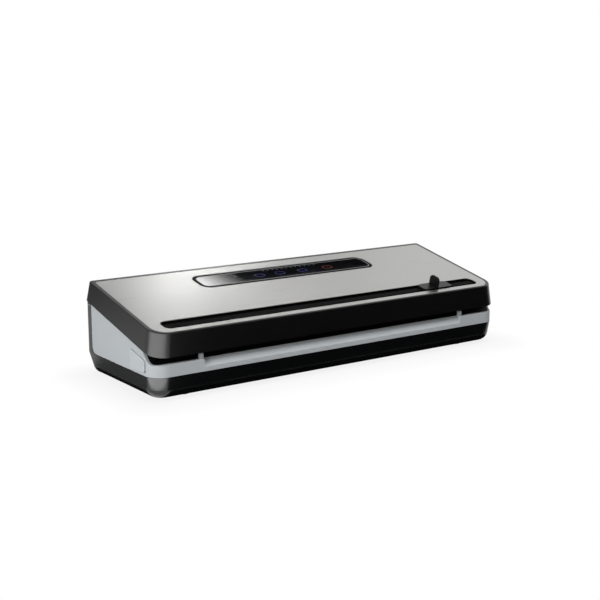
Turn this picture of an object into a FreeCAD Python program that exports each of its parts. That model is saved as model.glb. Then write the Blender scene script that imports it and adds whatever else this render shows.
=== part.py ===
import FreeCAD, Part
import math
import os

# Counter-top vacuum sealer. Millimetres, +Z up, front faces -Y, the feet stand on z = 0.
V = FreeCAD.Vector

# Overall form
lid_width = 402.0
overall_depth = 128.0
foot_height = 2.0
band_z = 22.0
lid_line_front_z = 39.4
lid_line_rear_z = 70.8
steel_front_z = 61.1
steel_rear_z = 87.6
steel_front_inset = 3.0
steel_rear_inset = 7.0
steel_side_inset = 6.6
steel_front_r = 14.0
steel_rear_r = 3.0

# Lid shell
lid_front_r = 16.0
lid_rear_r = 3.5
lid_side_draft = 8.0
lid_front_draft = 3.0
lid_rear_draft = 8.0
lid_wall = 2.4
lid_roof = 2.4
lid_edge_r = 1.2
steel_thickness = 0.8
steel_edge_r = 0.35
steel_gap = 0.25

# Casing below the lid
base_inset = 0.7
base_wall = 2.4
tray_taper = 2.2
tray_edge_r = 10.0
tray_rear_r = 13.0
case_gap = 0.2
lid_gap = 0.8
post_depth = 10.2
panel_corner_r = 7.0
rim_width = 8.8
deck_drop = 7.2
deck_wall = 2.4
lip_z = 33.1
step_foot_inset = 10.0
step_top_inset = 19.0
step_r = 5.0
bag_roll_width = 300.0
ramp_depth = 5.0
ramp_low_z = 26.4
ramp_wall = 3.0
tab_width = 3.4
tab_depth = 3.2
tab_foot = 3.0
tab_edge_r = 1.0
tab_top_z = 38.3

# Hinge
hinge_inset = 3.5
hinge_roll_r = 3.4
hinge_clearance = 0.6
hinge_pin_r = 1.5
hinge_pin_length = 44.0
hinge_pin_fit = 0.05
hinge_press_fit = 0.02
hinge_lug_inset = 80.0
hinge_lug_width = 16.0
hinge_side_gap = 0.4
hinge_lug_root = 8.0
hinge_notch_gap = 1.0

# Cutter slot, rail, slider and blade, measured from the steel's front edge
slot_end_inset = 18.7
slot_width = 15.8
slot_front = 6.1
slot_end_r = 6.0
rail_end_margin = 4.0
rail_end_r = 8.0
rail_margin = 3.0
rail_plate = 1.8
rail_strip_width = 7.0
rail_strip_rise = 1.8
rail_strip_short = 3.0
slit_width = 3.4
slit_end = 6.0
slider_parked = 53.3
slider_length = 37.0
slider_plate = 2.3
slider_side_gap = 1.1
slider_lift = 0.3
slider_end_r = 4.0
leg_width = 2.2
leg_length = 20.0
guide_gap = 0.4
guide_depth = 1.5
fin_thickness = 2.2
fin_width = 13.0
fin_height = 9.8
fin_r = 4.0
fin_shift = 1.5
slider_edge_r = 0.5
holder_foot = 8.0
holder_foot_thickness = 2.0
holder_length = 18.0
blade_thickness = 0.5
blade_length = 12.0
blade_fit = 0.05
blade_seat = 8.0
blade_reach = 2.0
cutter_groove_width = 3.0
cutter_groove_depth = 3.4
cutter_groove_wall = 2.4
cutter_end_gap = 5.5

# Control panel, measured from the steel's front edge
panel_half = 103.0
panel_rear_inset = 13.4
panel_width = 30.4
panel_r = 10.0
panel_gap = 0.3
bezel_width = 3.0
bezel_drop = 0.6
trim_width = 0.9
trim_drop = 0.05
glass_gap = 0.1
glass_drop = 0.1
panel_thickness = 2.1
panel_ledge = 4.0
board_half = 118.0
board_width = 24.0
board_thickness = 1.6
board_post_r = 3.0
board_post_height = 1.8
board_post_inset = 6.0
lamp_size = 2.0
lamp_height = 1.2
lamp_count = 12
lamp_pitch = 5.6
lamp_first_x = -22.0
lamp_row = 25.0
key_lamp_row = 14.5
key_lamp_length = 6.0
key_lamp_x = (-32.0, -8.0, 19.0, 50.0)

# Lid inner cover, gaskets and sealing pieces, measured on the lid line plane
cover_gap = 0.4
cover_height = 0.5
cover_thickness = 2.0
cover_rear_inset = 10.9
pad_depth = 1.5
pad_margin = 2.0
seal_gap = 0.3
gasket_end_inset = 28.0
gasket_spacing = 8.0
gasket_overhang = 0.6
gasket_width = 6.5
gasket_r = 12.0
gasket_fit = 0.15
gasket_seat = 1.2
gasket_top = -4.15
trough_margin = 1.5
trough_depth = 8.8
trough_wall = 2.0
trough_r = 5.0
seal_inset = 37.9
seal_end_inset = 35.0
seal_bar_width = 10.0
seal_bar_top = -4.6
heat_end_inset = 5.0
heat_width = 3.0
heat_thickness = 0.3
tape_width = 8.0
tape_overlap = 3.0
tape_thickness = 0.3
tape_fit = 0.03
strip_width = 8.0

# Latches and release buttons
button_front_inset = 15.0
button_length = 26.1
button_rear_low_z = 23.6
button_front_low_z = 25.6
button_rear_top_z = 41.6
button_front_top_z = 35.6
button_r = 2.0
button_proud = 1.6
button_edge_r = 0.6
button_gap = 0.5
button_travel = 2.8
flange_margin = 0.9
flange_thickness = 1.6
flange_gap = 0.4
pocket_margin = 0.4
latch_z = 29.0
latch_thickness = 2.5
latch_inset = 29.0
latch_width = 12.0
latch_bar = 4.0
window_width = 6.4
window_length = 6.4
window_edge = 17.1
hook_width = 4.8
hook_thickness = 2.5
hook_barb = 2.3
hook_gap = 0.3
hook_clear = 1.2
hook_flange = 5.0
hook_flange_thickness = 1.6
hook_hole_gap = 0.2
hook_slot_gap = 2.2
spring_length = 12.4
spring_r = 2.6
spring_wire_r = 0.35
spring_turns = 6
spring_gap = 0.15
spring_post = 3.0
guide_post = 2.4
running_gap = 0.3
switch_length = 12.8
switch_width = 5.8
switch_height = 6.5
switch_button_r = 1.0
switch_button_height = 0.8
switch_gap = 3.0

# Fasteners, feet and inlet
screw_shank_r = 1.5
screw_head_r = 2.9
screw_head = 2.0
screw_fit = 0.05
screw_hole_gap = 0.2
screw_depth = 9.0
boss_r = 3.8
base_boss_top = 10.0
base_seat = 3.0
corner_screw_x = 22.0
front_screw_y = 17.0
rear_screw_y = 20.0
middle_screw_x = 20.0
middle_front_y = 16.0
middle_rear_y = 18.0
lid_screw_front = 6.2
lid_screw_rear = 17.5
lid_screw_side = 18.0
lid_screw_middle = 128.0
lid_boss_r = 3.2
foot_r = 7.0
foot_seat = 1.0
foot_gap = 0.2
foot_side_inset = 40.0
foot_end_inset = 22.0
inlet_inset = 50.0
inlet_z = 28.0
inlet_width = 22.0
inlet_height = 13.0
inlet_depth = 17.0
inlet_recess_width = 15.0
inlet_recess_height = 8.4
inlet_recess_depth = 11.0
inlet_fit = 0.1
inlet_pin_r = 1.18
inlet_pin_pitch = 8.6
inlet_pin_length = 9.0
inlet_pin_tail = 4.0

# Pump, motor and electrics
pump_inset = 24.0
pump_z = 30.0
motor_r = 18.0
motor_wall = 1.2
motor_left = -112.0
motor_length = 54.0
magnet_thickness = 3.2
armature_r = 12.6
armature_length = 32.0
shaft_r = 1.6
shaft_fit = 0.06
bearing_r = 4.5
bearing_length = 3.0
commutator_r = 5.0
commutator_length = 5.5
crank_r = 8.0
crank_thickness = 6.0
crank_offset = 2.0
crank_gap = 1.0
head_length = 40.0
head_size = 36.0
head_wall = 3.0
head_cover = 3.0
diaphragm_thickness = 1.5
diaphragm_r = 15.0
bracket_thickness = 1.6
bracket_z = 8.0
bracket_margin = 4.0
saddle_inset = 10.0
saddle_height = 9.0
pump_post_r = 3.5
nozzle_r = 2.6
nozzle_bore_r = 1.4
nozzle_length = 6.0
hose_wall = 1.2
hose_fit = 0.05
hose_bend = 9.0
intake_x = 20.0
intake_shift = 5.0
intake_drop = 8.0
intake_rim_r = 5.0
intake_rim = 1.2
hose_z = 17.0
transformer_gap = 12.0
transformer_length = 50.0
transformer_width = 34.0
transformer_height = 36.0
core_gap = 9.0
core_limb = 12.0
power_board_inset = 50.0
power_board_rear = 52.0
power_board_length = 58.0
power_board_width = 48.0
power_board_z = 14.0
power_post_r = 3.0
power_post_inset = 5.0
small_screw_r = 1.1
small_head_r = 2.1
small_head = 1.4
small_screw_depth = 5.0

# Worked-out places
lid_half = lid_width / 2
front_y = -overall_depth / 2
rear_y = overall_depth / 2
lid_tilt = math.degrees(math.atan((lid_line_rear_z - lid_line_front_z) / overall_depth))
lid_line_z = (lid_line_front_z + lid_line_rear_z) / 2
steel_front_y = front_y + steel_front_inset
steel_rear_y = rear_y - steel_rear_inset
steel_half = lid_half - steel_side_inset
steel_tilt = math.degrees(math.atan((steel_rear_z - steel_front_z) / (steel_rear_y - steel_front_y)))
steel_length = math.hypot(steel_rear_y - steel_front_y, steel_rear_z - steel_front_z)
base_half = lid_half - base_inset
base_front_y = front_y + base_inset
inner_half = base_half - base_wall
deck_half = base_half - rim_width
deck_rear_y = rear_y - post_depth
ramp_half = bag_roll_width / 2
ramp_top_y = base_front_y + ramp_depth
button_front_y = front_y + button_front_inset
button_rear_y = button_front_y + button_length
latch_y = front_y + latch_inset
step_foot_y = front_y + step_foot_inset
step_top_y = front_y + step_top_inset
foot_x = lid_half - foot_side_inset
foot_y = rear_y - foot_end_inset
hinge_lug_x = lid_half - hinge_lug_inset
slot_half = lid_half - slot_end_inset
rail_half = slot_half + rail_end_margin
slider_x = slot_half - slider_parked
panel_front = steel_length - panel_rear_inset - panel_width
gasket_half = lid_half - gasket_end_inset
seal_bar_half = lid_half - seal_end_inset
heat_half = seal_bar_half - heat_end_inset
cover_rear = rear_y / math.cos(math.radians(lid_tilt)) - cover_rear_inset
inlet_x = lid_half - inlet_inset
power_board_x = lid_half - power_board_inset
power_board_y = rear_y - power_board_rear
transformer_x = power_board_x - power_board_length / 2 - transformer_gap - transformer_length / 2
pump_y = rear_y - pump_inset
seal_v = front_y / math.cos(math.radians(lid_tilt)) + seal_inset
gasket_front = seal_v + gasket_spacing
gasket_rear = (pump_y - head_size / 2) / math.cos(math.radians(lid_tilt)) - gasket_overhang
intake_v = (gasket_front + gasket_rear) / 2 - intake_shift
hinge_y = rear_y - hinge_inset
hinge_z = lid_line_z + hinge_y * math.tan(math.radians(lid_tilt))
ledge_z = hinge_z - hinge_roll_r - hinge_clearance
floor_z = foot_height + base_wall
slot_mid = slot_front + slot_width / 2
blade_p = slot_mid - (rail_strip_width + slot_width) / 4
rail_top = steel_thickness + lid_roof
cover_top = cover_height + cover_thickness
motor_right = motor_left + motor_length
head_right = motor_right + head_length
far = 500.0

# The lid line plane carries x, v (up the slope) and w (square to it). The steel plane carries x, p and q.
lid_frame = FreeCAD.Placement(V(0, 0, lid_line_z), FreeCAD.Rotation(V(1, 0, 0), lid_tilt))
steel_frame = FreeCAD.Placement(V(0, steel_front_y, steel_front_z), FreeCAD.Rotation(V(1, 0, 0), steel_tilt))


def placed(shape, frame):
    """The shape moved from a sloped frame into the part's frame."""
    result = shape.copy()
    result.Placement = frame.multiply(shape.Placement)
    return result


def box(x0, x1, y0, y1, z0, z1):
    """A box between two corners."""
    return Part.makeBox(x1 - x0, y1 - y0, z1 - z0, V(x0, y0, z0))


def lid_box(x0, x1, v0, v1, w0, w1):
    """A box square to the lid line plane."""
    return placed(box(x0, x1, v0, v1, w0, w1), lid_frame)


def steel_box(x0, x1, p0, p1, q0, q1):
    """A box square to the steel plane."""
    return placed(box(x0, x1, p0, p1, q0, q1), steel_frame)


def rod(start, end, radius):
    """A round bar between two points."""
    axis = end.sub(start)
    return Part.makeCylinder(radius, axis.Length, start, axis)


def ring(start, end, radius, bore):
    """A round tube between two points."""
    return rod(start, end, radius).cut(rod(start, end, bore))


def plan_wire(half, front, rear, front_r, rear_r, height):
    """A rectangle with rounded corners, lying flat at one height."""
    quarter = math.pi / 2
    corners = ((half - front_r, front + front_r, front_r, -quarter), (half - rear_r, rear - rear_r, rear_r, 0.0),
               (rear_r - half, rear - rear_r, rear_r, quarter), (front_r - half, front + front_r, front_r, 2 * quarter))
    points = []
    for x, y, radius, start in corners:
        turns = (start, start + quarter / 2, start + quarter)
        points.append([V(x + radius * math.cos(a), y + radius * math.sin(a), height) for a in turns])
    edges = []
    for index, (begin, middle, end) in enumerate(points):
        edges.append(Part.Arc(begin, middle, end).toShape())
        edges.append(Part.makeLine(end, points[(index + 1) % len(points)][0]))
    return Part.Wire(edges)


def plan_block(half, front, rear, front_r, rear_r, low, high):
    """An upright block with a rounded plan."""
    face = Part.Face(plan_wire(half, front, rear, front_r, rear_r, low))
    return face.extrude(V(0, 0, high - low))


def side_prism(outline, x0, x1):
    """A prism along X from an outline of y and z pairs."""
    points = [V(x0, y, z) for y, z in outline]
    return Part.Face(Part.makePolygon(points + points[:1])).extrude(V(x1 - x0, 0, 0))


def along(shape, direction):
    """The straight edges of a shape that run along a direction."""
    return [e for e in shape.Edges if abs(e.tangentAt(e.FirstParameter).dot(direction)) > 0.999]


def joined(shapes):
    """Several solids joined into one."""
    return shapes[0].multiFuse(shapes[1:]).removeSplitter()


def both_sides(shape):
    """A solid of the right half with its twin on the left."""
    return [shape, shape.mirror(V(0, 0, 0), V(1, 0, 0))]


def export(name, *shapes):
    """One node, as one solid or a group of like solids."""
    shape = shapes[0] if len(shapes) == 1 else Part.makeCompound(list(shapes))
    shape.exportStep("parts/" + name + ".step")


def lid_form(inset, low, high):
    """The lid's drafted block between two heights over the lid line, drawn in from its outside by an inset."""
    wires = []
    for w in (low, high):
        half = lid_half - inset - w * math.tan(math.radians(lid_side_draft))
        front = front_y / math.cos(math.radians(lid_tilt)) + inset
        rear = rear_y / math.cos(math.radians(lid_tilt)) - inset
        front += w * math.tan(math.radians(lid_tilt + lid_front_draft))
        rear += w * math.tan(math.radians(lid_tilt - lid_rear_draft))
        wires.append(plan_wire(half, front, rear, lid_front_r - inset, lid_rear_r - inset, w))
    return placed(Part.makeLoft(wires, True, True), lid_frame)


def steel_plan(margin, low, high):
    """The steel plate's plan, grown by a margin, between two heights over the steel plane."""
    block = plan_block(steel_half + margin, -margin, steel_length + margin,
                       steel_front_r + margin, steel_rear_r + margin, low, high)
    return placed(block, steel_frame)


def panel_plan(margin, low, high):
    """The control panel's plan, grown by a margin."""
    rear = panel_front + panel_width
    block = plan_block(panel_half + margin, panel_front - margin, rear + margin,
                       panel_r + margin, panel_r + margin, low, high)
    return placed(block, steel_frame)


def slot_plan(half, front, rear, radius, low, high):
    """A long rounded slot in the steel plane."""
    return placed(plan_block(half, front, rear, radius, radius, low, high), steel_frame)


def gasket_ring(margin, low, high):
    """The gasket's plan as a ring, widened on both sides by a margin."""
    outer = plan_block(gasket_half + margin, gasket_front - margin, gasket_rear + margin,
                       gasket_r + margin, gasket_r + margin, low, high)
    drawn = gasket_width + margin
    inner = plan_block(gasket_half - drawn, gasket_front + drawn, gasket_rear - drawn,
                       gasket_r - drawn, gasket_r - drawn, low, high)
    return placed(outer.cut(inner), lid_frame)


def base_plan(inset, low, high):
    """The casing's upright outline, drawn in by an inset."""
    return plan_block(base_half - inset, base_front_y + inset, rear_y - inset,
                      lid_front_r - base_inset - inset, lid_rear_r - inset, low, high)


def base_foot(inset, low):
    """The casing's tapered bottom, from a height up to the band."""
    drawn = tray_taper * (band_z - low) / (band_z - foot_height)
    wires = []
    for z, taper, rear_r in ((low, drawn, tray_rear_r), (band_z, 0.0, lid_rear_r)):
        shrink = inset + taper
        wires.append(plan_wire(base_half - shrink, base_front_y + shrink, rear_y - shrink,
                               lid_front_r - base_inset - inset, rear_r - inset, z))
    block = Part.makeLoft(wires, True, True)
    low_loop = [e for e in block.Edges if e.BoundBox.ZMax < low + 1e-6]
    return block.makeFillet(tray_edge_r - inset, low_loop)


def side_panel(gap):
    """The space of the grey casing in side view: above the band and before the rear posts."""
    block = box(-far, far, -far, deck_rear_y - gap, band_z + gap, far)
    low_rear = [e for e in along(block, V(1, 0, 0))
                if abs(e.CenterOfMass.y - deck_rear_y + gap) < 1e-6 and abs(e.CenterOfMass.z - band_z - gap) < 1e-6]
    return block.makeFillet(panel_corner_r, low_rear)


def hinge_axis_rod(x0, x1, radius):
    """A round bar on the hinge axis."""
    return rod(V(x0, hinge_y, hinge_z), V(x1, hinge_y, hinge_z), radius)


def screw_points():
    """The six base screws."""
    side = base_half - corner_screw_x
    points = []
    for x in (-side, side):
        points.append((x, base_front_y + front_screw_y))
        points.append((x, rear_y - rear_screw_y))
    points.append((middle_screw_x, base_front_y + middle_front_y))
    points.append((middle_screw_x, rear_y - middle_rear_y))
    return points


def lid_screw_points():
    """The six cover screws, on the lid line plane."""
    side = lid_half - lid_screw_side
    slope = math.cos(math.radians(lid_tilt))
    front = front_y / slope + lid_screw_front
    rear = rear_y / slope - lid_screw_rear
    return [(-side, front), (side, front)] + [(x, rear) for x in (-side, -lid_screw_middle, lid_screw_middle, side)]


def lid_rod(x, v, radius, low, high):
    """A round bar square to the lid line plane."""
    return placed(rod(V(x, v, low), V(x, v, high), radius), lid_frame)


def steel_rod(x, p, radius, low, high):
    """A round bar square to the steel plane."""
    return placed(rod(V(x, p, low), V(x, p, high), radius), steel_frame)


def trough_block(margin, low, high):
    """The vacuum trough's plan inside the gasket, grown by a margin."""
    drawn = gasket_width + trough_margin - margin
    radius = trough_r + margin
    block = plan_block(gasket_half - drawn, gasket_front + drawn, gasket_rear - drawn, radius, radius, low, high)
    return placed(block, lid_frame)


def cutter_groove(margin, low, high):
    """The blade's path, square to the steel plane, as a long box."""
    half = slot_half + margin
    reach = cutter_groove_width / 2 + margin
    return slot_plan(half, blade_p - reach, blade_p + reach, reach * 0.9, low, high)


def button_face(margin):
    """The release button's outline in side view, with rounded corners, grown by a margin."""
    outline = ((button_rear_y, button_rear_low_z), (button_rear_y, button_rear_top_z),
               (button_front_y, button_front_top_z), (button_front_y, button_front_low_z))
    block = side_prism(outline, 0.0, 1.0)
    block = block.makeFillet(button_r, along(block, V(1, 0, 0)))
    wire = [f for f in block.Faces if abs(f.CenterOfMass.x) < 1e-6][0].OuterWire
    return wire.makeOffset2D(margin) if margin else wire


def button_block(margin, x0, x1):
    """The release button's outline carried along X."""
    face = Part.Face(button_face(margin))
    face.translate(V(x0, 0, 0))
    return face.extrude(V(x1 - x0, 0, 0))


# Heights over the steel plane that depend on where the lid line and the deck are under the blade
blade_foot = steel_frame.multVec(V(0, blade_p, 0))
lid_local = lid_frame.inverse().multVec(blade_foot)
blade_drop = lid_local.z + deck_drop
groove_bottom = blade_drop + cutter_groove_depth
latch_edge_x = base_half - window_edge
hook_x = latch_edge_x + hook_gap


def make_base_tray():
    """Black lower casing: tapered bottom, rear wall, rear posts and hinge lugs."""
    outer = base_foot(0.0, foot_height)
    upper = base_plan(0.0, band_z, far)
    above = lid_box(-far, far, -far, far, -lid_gap, far)
    ledge = box(-far, far, hinge_y - hinge_roll_r - hinge_clearance, far, ledge_z, far)
    outer = outer.fuse(upper).cut(above).cut(ledge).cut(side_panel(0.0))
    hollow = base_foot(base_wall, floor_z).fuse(base_plan(base_wall, band_z, ledge_z - base_wall))
    tray = outer.cut(hollow)
    additions = []
    for x, y in screw_points():
        additions.append(rod(V(x, y, foot_height + 1), V(x, y, base_boss_top), boss_r))
    for x in pump_post_x():
        for y in pump_post_y():
            additions.append(rod(V(x, y, floor_z - 1), V(x, y, bracket_z), pump_post_r))
    for x, y in power_post_points():
        additions.append(rod(V(x, y, floor_z - 1), V(x, y, power_board_z), power_post_r))
    for x0, x1, top in latch_post_spans():
        half = latch_width / 2
        post = box(x0, x1, latch_y - half, latch_y + half, floor_z - 1, top)
        additions.extend(both_sides(post))
    switch = box(*switch_span_x(), *switch_span_y(), floor_z - 1, switch_floor())
    additions.extend(both_sides(switch))
    for x in (-hinge_lug_x, hinge_lug_x):
        x0 = x - hinge_lug_width / 2
        x1 = x + hinge_lug_width / 2
        root = box(x0, x1, hinge_y - hinge_roll_r, hinge_y + hinge_roll_r, ledge_z - hinge_lug_root, hinge_z)
        additions.append(root)
        additions.append(hinge_axis_rod(x0, x1, hinge_roll_r))
    shelf_z = inlet_z - inlet_height / 2
    support = box(inlet_x - inlet_width / 2, inlet_x + inlet_width / 2, rear_y - inlet_depth, rear_y - base_wall / 2,
                  shelf_z - base_wall, shelf_z)
    additions.append(support)
    seat = box(transformer_x - transformer_length / 2, transformer_x + transformer_length / 2,
               pump_y - transformer_width / 2, pump_y + transformer_width / 2, floor_z - 1, floor_z + base_seat)
    additions.append(seat)
    tray = joined([tray] + additions)
    cuts = []
    for x, y in screw_points():
        cuts.append(rod(V(x, y, 0), V(x, y, base_boss_top - base_seat), screw_head_r + screw_hole_gap))
        cuts.append(rod(V(x, y, 0), V(x, y, base_boss_top + 1), screw_shank_r + screw_hole_gap))
    for x, y in foot_points():
        cuts.append(rod(V(x, y, 0), V(x, y, foot_height + foot_seat), foot_r + foot_gap))
    for x, y in power_post_points():
        cuts.append(rod(V(x, y, power_board_z - small_screw_depth), V(x, y, power_board_z), small_screw_r + screw_fit))
    for x in pump_post_x():
        for y in pump_post_y():
            cuts.append(rod(V(x, y, floor_z), V(x, y, bracket_z), small_screw_r + screw_fit))
    cuts.append(inlet_block(inlet_fit))
    cuts.append(hinge_axis_rod(-far, far, hinge_pin_r + hinge_press_fit))
    return tray.cut(Part.makeCompound(cuts))


def make_upper_casing():
    """Grey casing with its side panels, front band and ramp, and the black deck inside it with trough and grooves."""
    outer = base_plan(0.0, band_z, far).common(side_panel(case_gap))
    above = lid_box(-far, far, -far, far, -lid_gap, far)
    outer = outer.cut(above)
    recess = lid_box(-deck_half, deck_half, -far, far, -deck_drop, far)
    recess = recess.common(box(-far, far, -far, deck_rear_y - deck_wall - case_gap, lip_z, far))
    step_line = lid_line_z + step_top_y * math.tan(math.radians(lid_tilt)) - lid_gap
    outline = ((-far, lip_z), (step_foot_y, lip_z), (step_top_y, step_line), (step_top_y, far), (-far, far))
    step = side_prism(outline, -far, far)
    bend = [e for e in along(step, V(1, 0, 0)) if abs(e.CenterOfMass.y - step_foot_y) < 1e-6]
    step = step.makeFillet(step_r, bend)
    outer = outer.cut(step)
    ramp = side_prism(((ramp_top_y, lip_z), (base_front_y, ramp_low_z), (base_front_y - far, ramp_low_z),
                       (base_front_y - far, far), (ramp_top_y, far)), -ramp_half, ramp_half)
    deck_under = lid_box(-far, far, -far, far, -far, -deck_drop - deck_wall)
    hollow = base_plan(base_wall, 0.0, far).common(deck_under)
    lean = (lip_z - ramp_low_z) / ramp_depth
    behind = side_prism(((base_front_y, ramp_low_z - ramp_wall * lean), (ramp_top_y + ramp_wall, lip_z),
                         (ramp_top_y + ramp_wall, far), (base_front_y, far)),
                        -ramp_half - ramp_wall, ramp_half + ramp_wall)
    kept = [behind, trough_block(trough_wall, -deck_drop - trough_depth - trough_wall, -deck_drop),
            cutter_groove(cutter_groove_wall, -groove_bottom - cutter_groove_wall, 0)]
    for x, y in screw_points():
        kept.append(rod(V(x, y, base_boss_top), V(x, y, far), boss_r))
    deck = outer.cut(hollow.cut(Part.makeCompound(kept)))
    posts = []
    for x, y in screw_points():
        posts.append(rod(V(x, y, base_boss_top), V(x, y, band_z + 2 * case_gap), boss_r))
    cuts = []
    cuts.append(trough_block(0.0, -deck_drop - trough_depth, 0.0))
    cuts.append(gasket_ring(0.0, -deck_drop - gasket_seat, 0.0))
    half = seal_bar_width / 2 + gasket_fit
    cuts.append(lid_box(-seal_bar_half - gasket_fit, seal_bar_half + gasket_fit, seal_v - half, seal_v + half,
                        -deck_drop - gasket_seat, 0.0))
    cuts.append(cutter_groove(0.0, -groove_bottom, 0.0))
    cuts.append(intake_rod(nozzle_r + hose_fit))
    slot = hook_slot()
    cuts.extend(both_sides(slot))
    button_hole = button_block(button_gap, inner_half - 1, base_half + 1)
    pocket_depth = flange_gap + flange_thickness + button_travel + running_gap
    pocket = button_block(flange_margin + pocket_margin, inner_half - pocket_depth, inner_half)
    cuts.extend(both_sides(button_hole))
    cuts.extend(both_sides(pocket))
    for x, y in screw_points():
        top = base_boss_top + screw_depth
        cuts.append(rod(V(x, y, 0), V(x, y, top), screw_shank_r + screw_fit))
    cuts.extend(make_bag_guides())
    deck = joined([deck.cut(recess).cut(ramp)] + posts).cut(Part.makeCompound(cuts))
    chamber = base_plan(base_wall, 0.0, far).common(box(-far, far, ramp_top_y, far, 0.0, far))
    return deck.cut(chamber), deck.common(chamber)


def make_bag_guides():
    """Two guide tabs at the ends of the ramp, each with its foot let into the casing's lip."""
    tabs = []
    for x in (-ramp_half - tab_width, ramp_half):
        tab = box(x, x + tab_width, ramp_top_y - tab_depth, ramp_top_y, lip_z - tab_foot, tab_top_z)
        top = [e for e in along(tab, V(1, 0, 0)) if e.CenterOfMass.z > tab_top_z - 1e-6]
        tabs.append(tab.makeFillet(tab_edge_r, top))
    return tabs


def hook_slot():
    """The opening in the deck that the right latch hook passes through."""
    x0 = hook_x - hook_barb - hook_slot_gap / 2
    x1 = hook_x + hook_thickness + hook_slot_gap / 2
    half = hook_width / 2 + hook_slot_gap
    return box(x0, x1, latch_y - half, latch_y + half, latch_z, far)


def foot_points():
    """The four feet."""
    return [(x, y) for x in (-foot_x, foot_x) for y in (-foot_y, foot_y)]


def pump_post_x():
    """The pump posts along X."""
    return (motor_left + bracket_margin, motor_right - bracket_margin)


def pump_post_y():
    """The pump posts along Y."""
    half = head_size / 2 - bracket_margin
    return (pump_y - half, pump_y + half)


def power_post_points():
    """The posts under the power board."""
    half_x = power_board_length / 2 - power_post_inset
    half_y = power_board_width / 2 - power_post_inset
    return [(power_board_x + i * half_x, power_board_y + j * half_y) for i in (-1, 1) for j in (-1, 1)]


def latch_post_spans():
    """Posts on the right that back the return spring and carry the latch slider: x from, x to, top."""
    bar_end = latch_edge_x - latch_bar
    spring_end = bar_end - spring_length
    carrier = latch_edge_x + window_length + running_gap
    return ((spring_end - spring_post, spring_end, latch_z + latch_thickness + spring_r),
            (carrier, carrier + guide_post, latch_z - running_gap))


def switch_span_x():
    """The right lid switch across X, under the hook."""
    middle = hook_x + hook_thickness / 2
    return (middle - switch_width / 2, middle + switch_width / 2)


def switch_span_y():
    """The right lid switch along Y, behind the latch slider."""
    start = latch_y + latch_width / 2 + running_gap
    return (start, start + switch_length)


def switch_floor():
    """The height of the switch's post."""
    return latch_z - switch_height


def inlet_block(gap):
    """The mains inlet's body, grown by a gap where it passes the rear wall."""
    half_x = inlet_width / 2 + gap
    half_z = inlet_height / 2 + gap
    return box(inlet_x - half_x, inlet_x + half_x, rear_y - inlet_depth - gap, rear_y + gap,
               inlet_z - inlet_height / 2, inlet_z + half_z)


def intake_rod(radius):
    """The intake's bore through the trough floor, upright."""
    place = lid_frame.multVec(V(intake_x, intake_v, -deck_drop - trough_depth))
    low = place.z - trough_wall - intake_drop
    return rod(V(place.x, place.y, low), V(place.x, place.y, place.z + intake_rim_r), radius)


def make_lid_shell():
    """Black lid: drafted walls, roof with its recess, slot and panel seat, rear roll with the hinge bores."""
    above = steel_box(-far, far, -far, far, 0.0, far)
    outer = lid_form(0.0, 0.0, far / 10).cut(above)
    inverse = steel_frame.inverse()
    top_loop = [e for e in outer.Edges if all(abs(inverse.multVec(p.Point).z) < 1e-6 for p in e.Vertexes)]
    outer = outer.makeFillet(lid_edge_r, top_loop)
    roof = steel_box(-far, far, -far, far, -rail_top, far)
    hollow = lid_form(lid_wall, -1.0, far / 10).cut(roof)
    bosses = [lid_rod(x, v, lid_boss_r, cover_top, far / 10) for x, v in lid_screw_points()]
    for x, p in board_post_points():
        bosses.append(steel_rod(x, p, board_post_r, -rail_top - board_post_height, 0.0))
    shell = outer.cut(hollow.cut(Part.makeCompound(bosses)))
    roll = hinge_axis_rod(-far, far, hinge_roll_r)
    filler = box(-far, far, hinge_y, hinge_y + hinge_roll_r, hinge_z, hinge_z + hinge_roll_r / 2)
    roll = roll.fuse(filler).common(base_plan(0.0, band_z, far))
    shell = joined([shell, roll])
    cuts = [steel_plan(steel_gap, -steel_thickness, far)]
    cuts.append(slot_plan(slot_half, slot_front, slot_front + slot_width, slot_end_r, -far / 20, far))
    cuts.append(panel_plan(panel_gap, -panel_thickness - glass_drop, far))
    cuts.append(panel_plan(-panel_ledge, -far / 20, far))
    for x, v in lid_screw_points():
        cuts.append(lid_rod(x, v, screw_shank_r + screw_fit, 0.0, cover_height + screw_depth))
    for x, p in board_post_points():
        top = -rail_top + lid_roof / 2
        cuts.append(steel_rod(x, p, small_screw_r + screw_fit, -far / 20, top))
    for x in (-hinge_lug_x, hinge_lug_x):
        reach = hinge_lug_width / 2 + hinge_side_gap
        cuts.append(hinge_axis_rod(x - reach, x + reach, hinge_roll_r + hinge_notch_gap))
        pin = hinge_pin_length / 2 + hinge_side_gap
        cuts.append(hinge_axis_rod(x - pin, x + pin, hinge_pin_r + hinge_pin_fit))
    return shell.cut(Part.makeCompound(cuts))


def make_steel_plate():
    """Brushed steel plate with the cutter slot and the panel opening."""
    plate = steel_plan(0.0, -steel_thickness, 0.0)
    slot = slot_plan(slot_half, slot_front, slot_front + slot_width, slot_end_r, -far, far)
    plate = plate.cut(slot).cut(panel_plan(0.0, -far, far))
    inverse = steel_frame.inverse()
    top_edges = [e for e in plate.Edges if all(abs(inverse.multVec(p.Point).z) < 1e-6 for p in e.Vertexes)]
    return plate.makeFillet(steel_edge_r, top_edges)


def board_post_points():
    """The posts that hold the display board, in the steel plane."""
    middle = panel_front + panel_width / 2
    reach = board_width / 2 - board_post_inset
    x = board_half - board_post_inset
    return [(i * x, middle + j * reach) for i in (-1, 1) for j in (-1, 1)]


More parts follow.
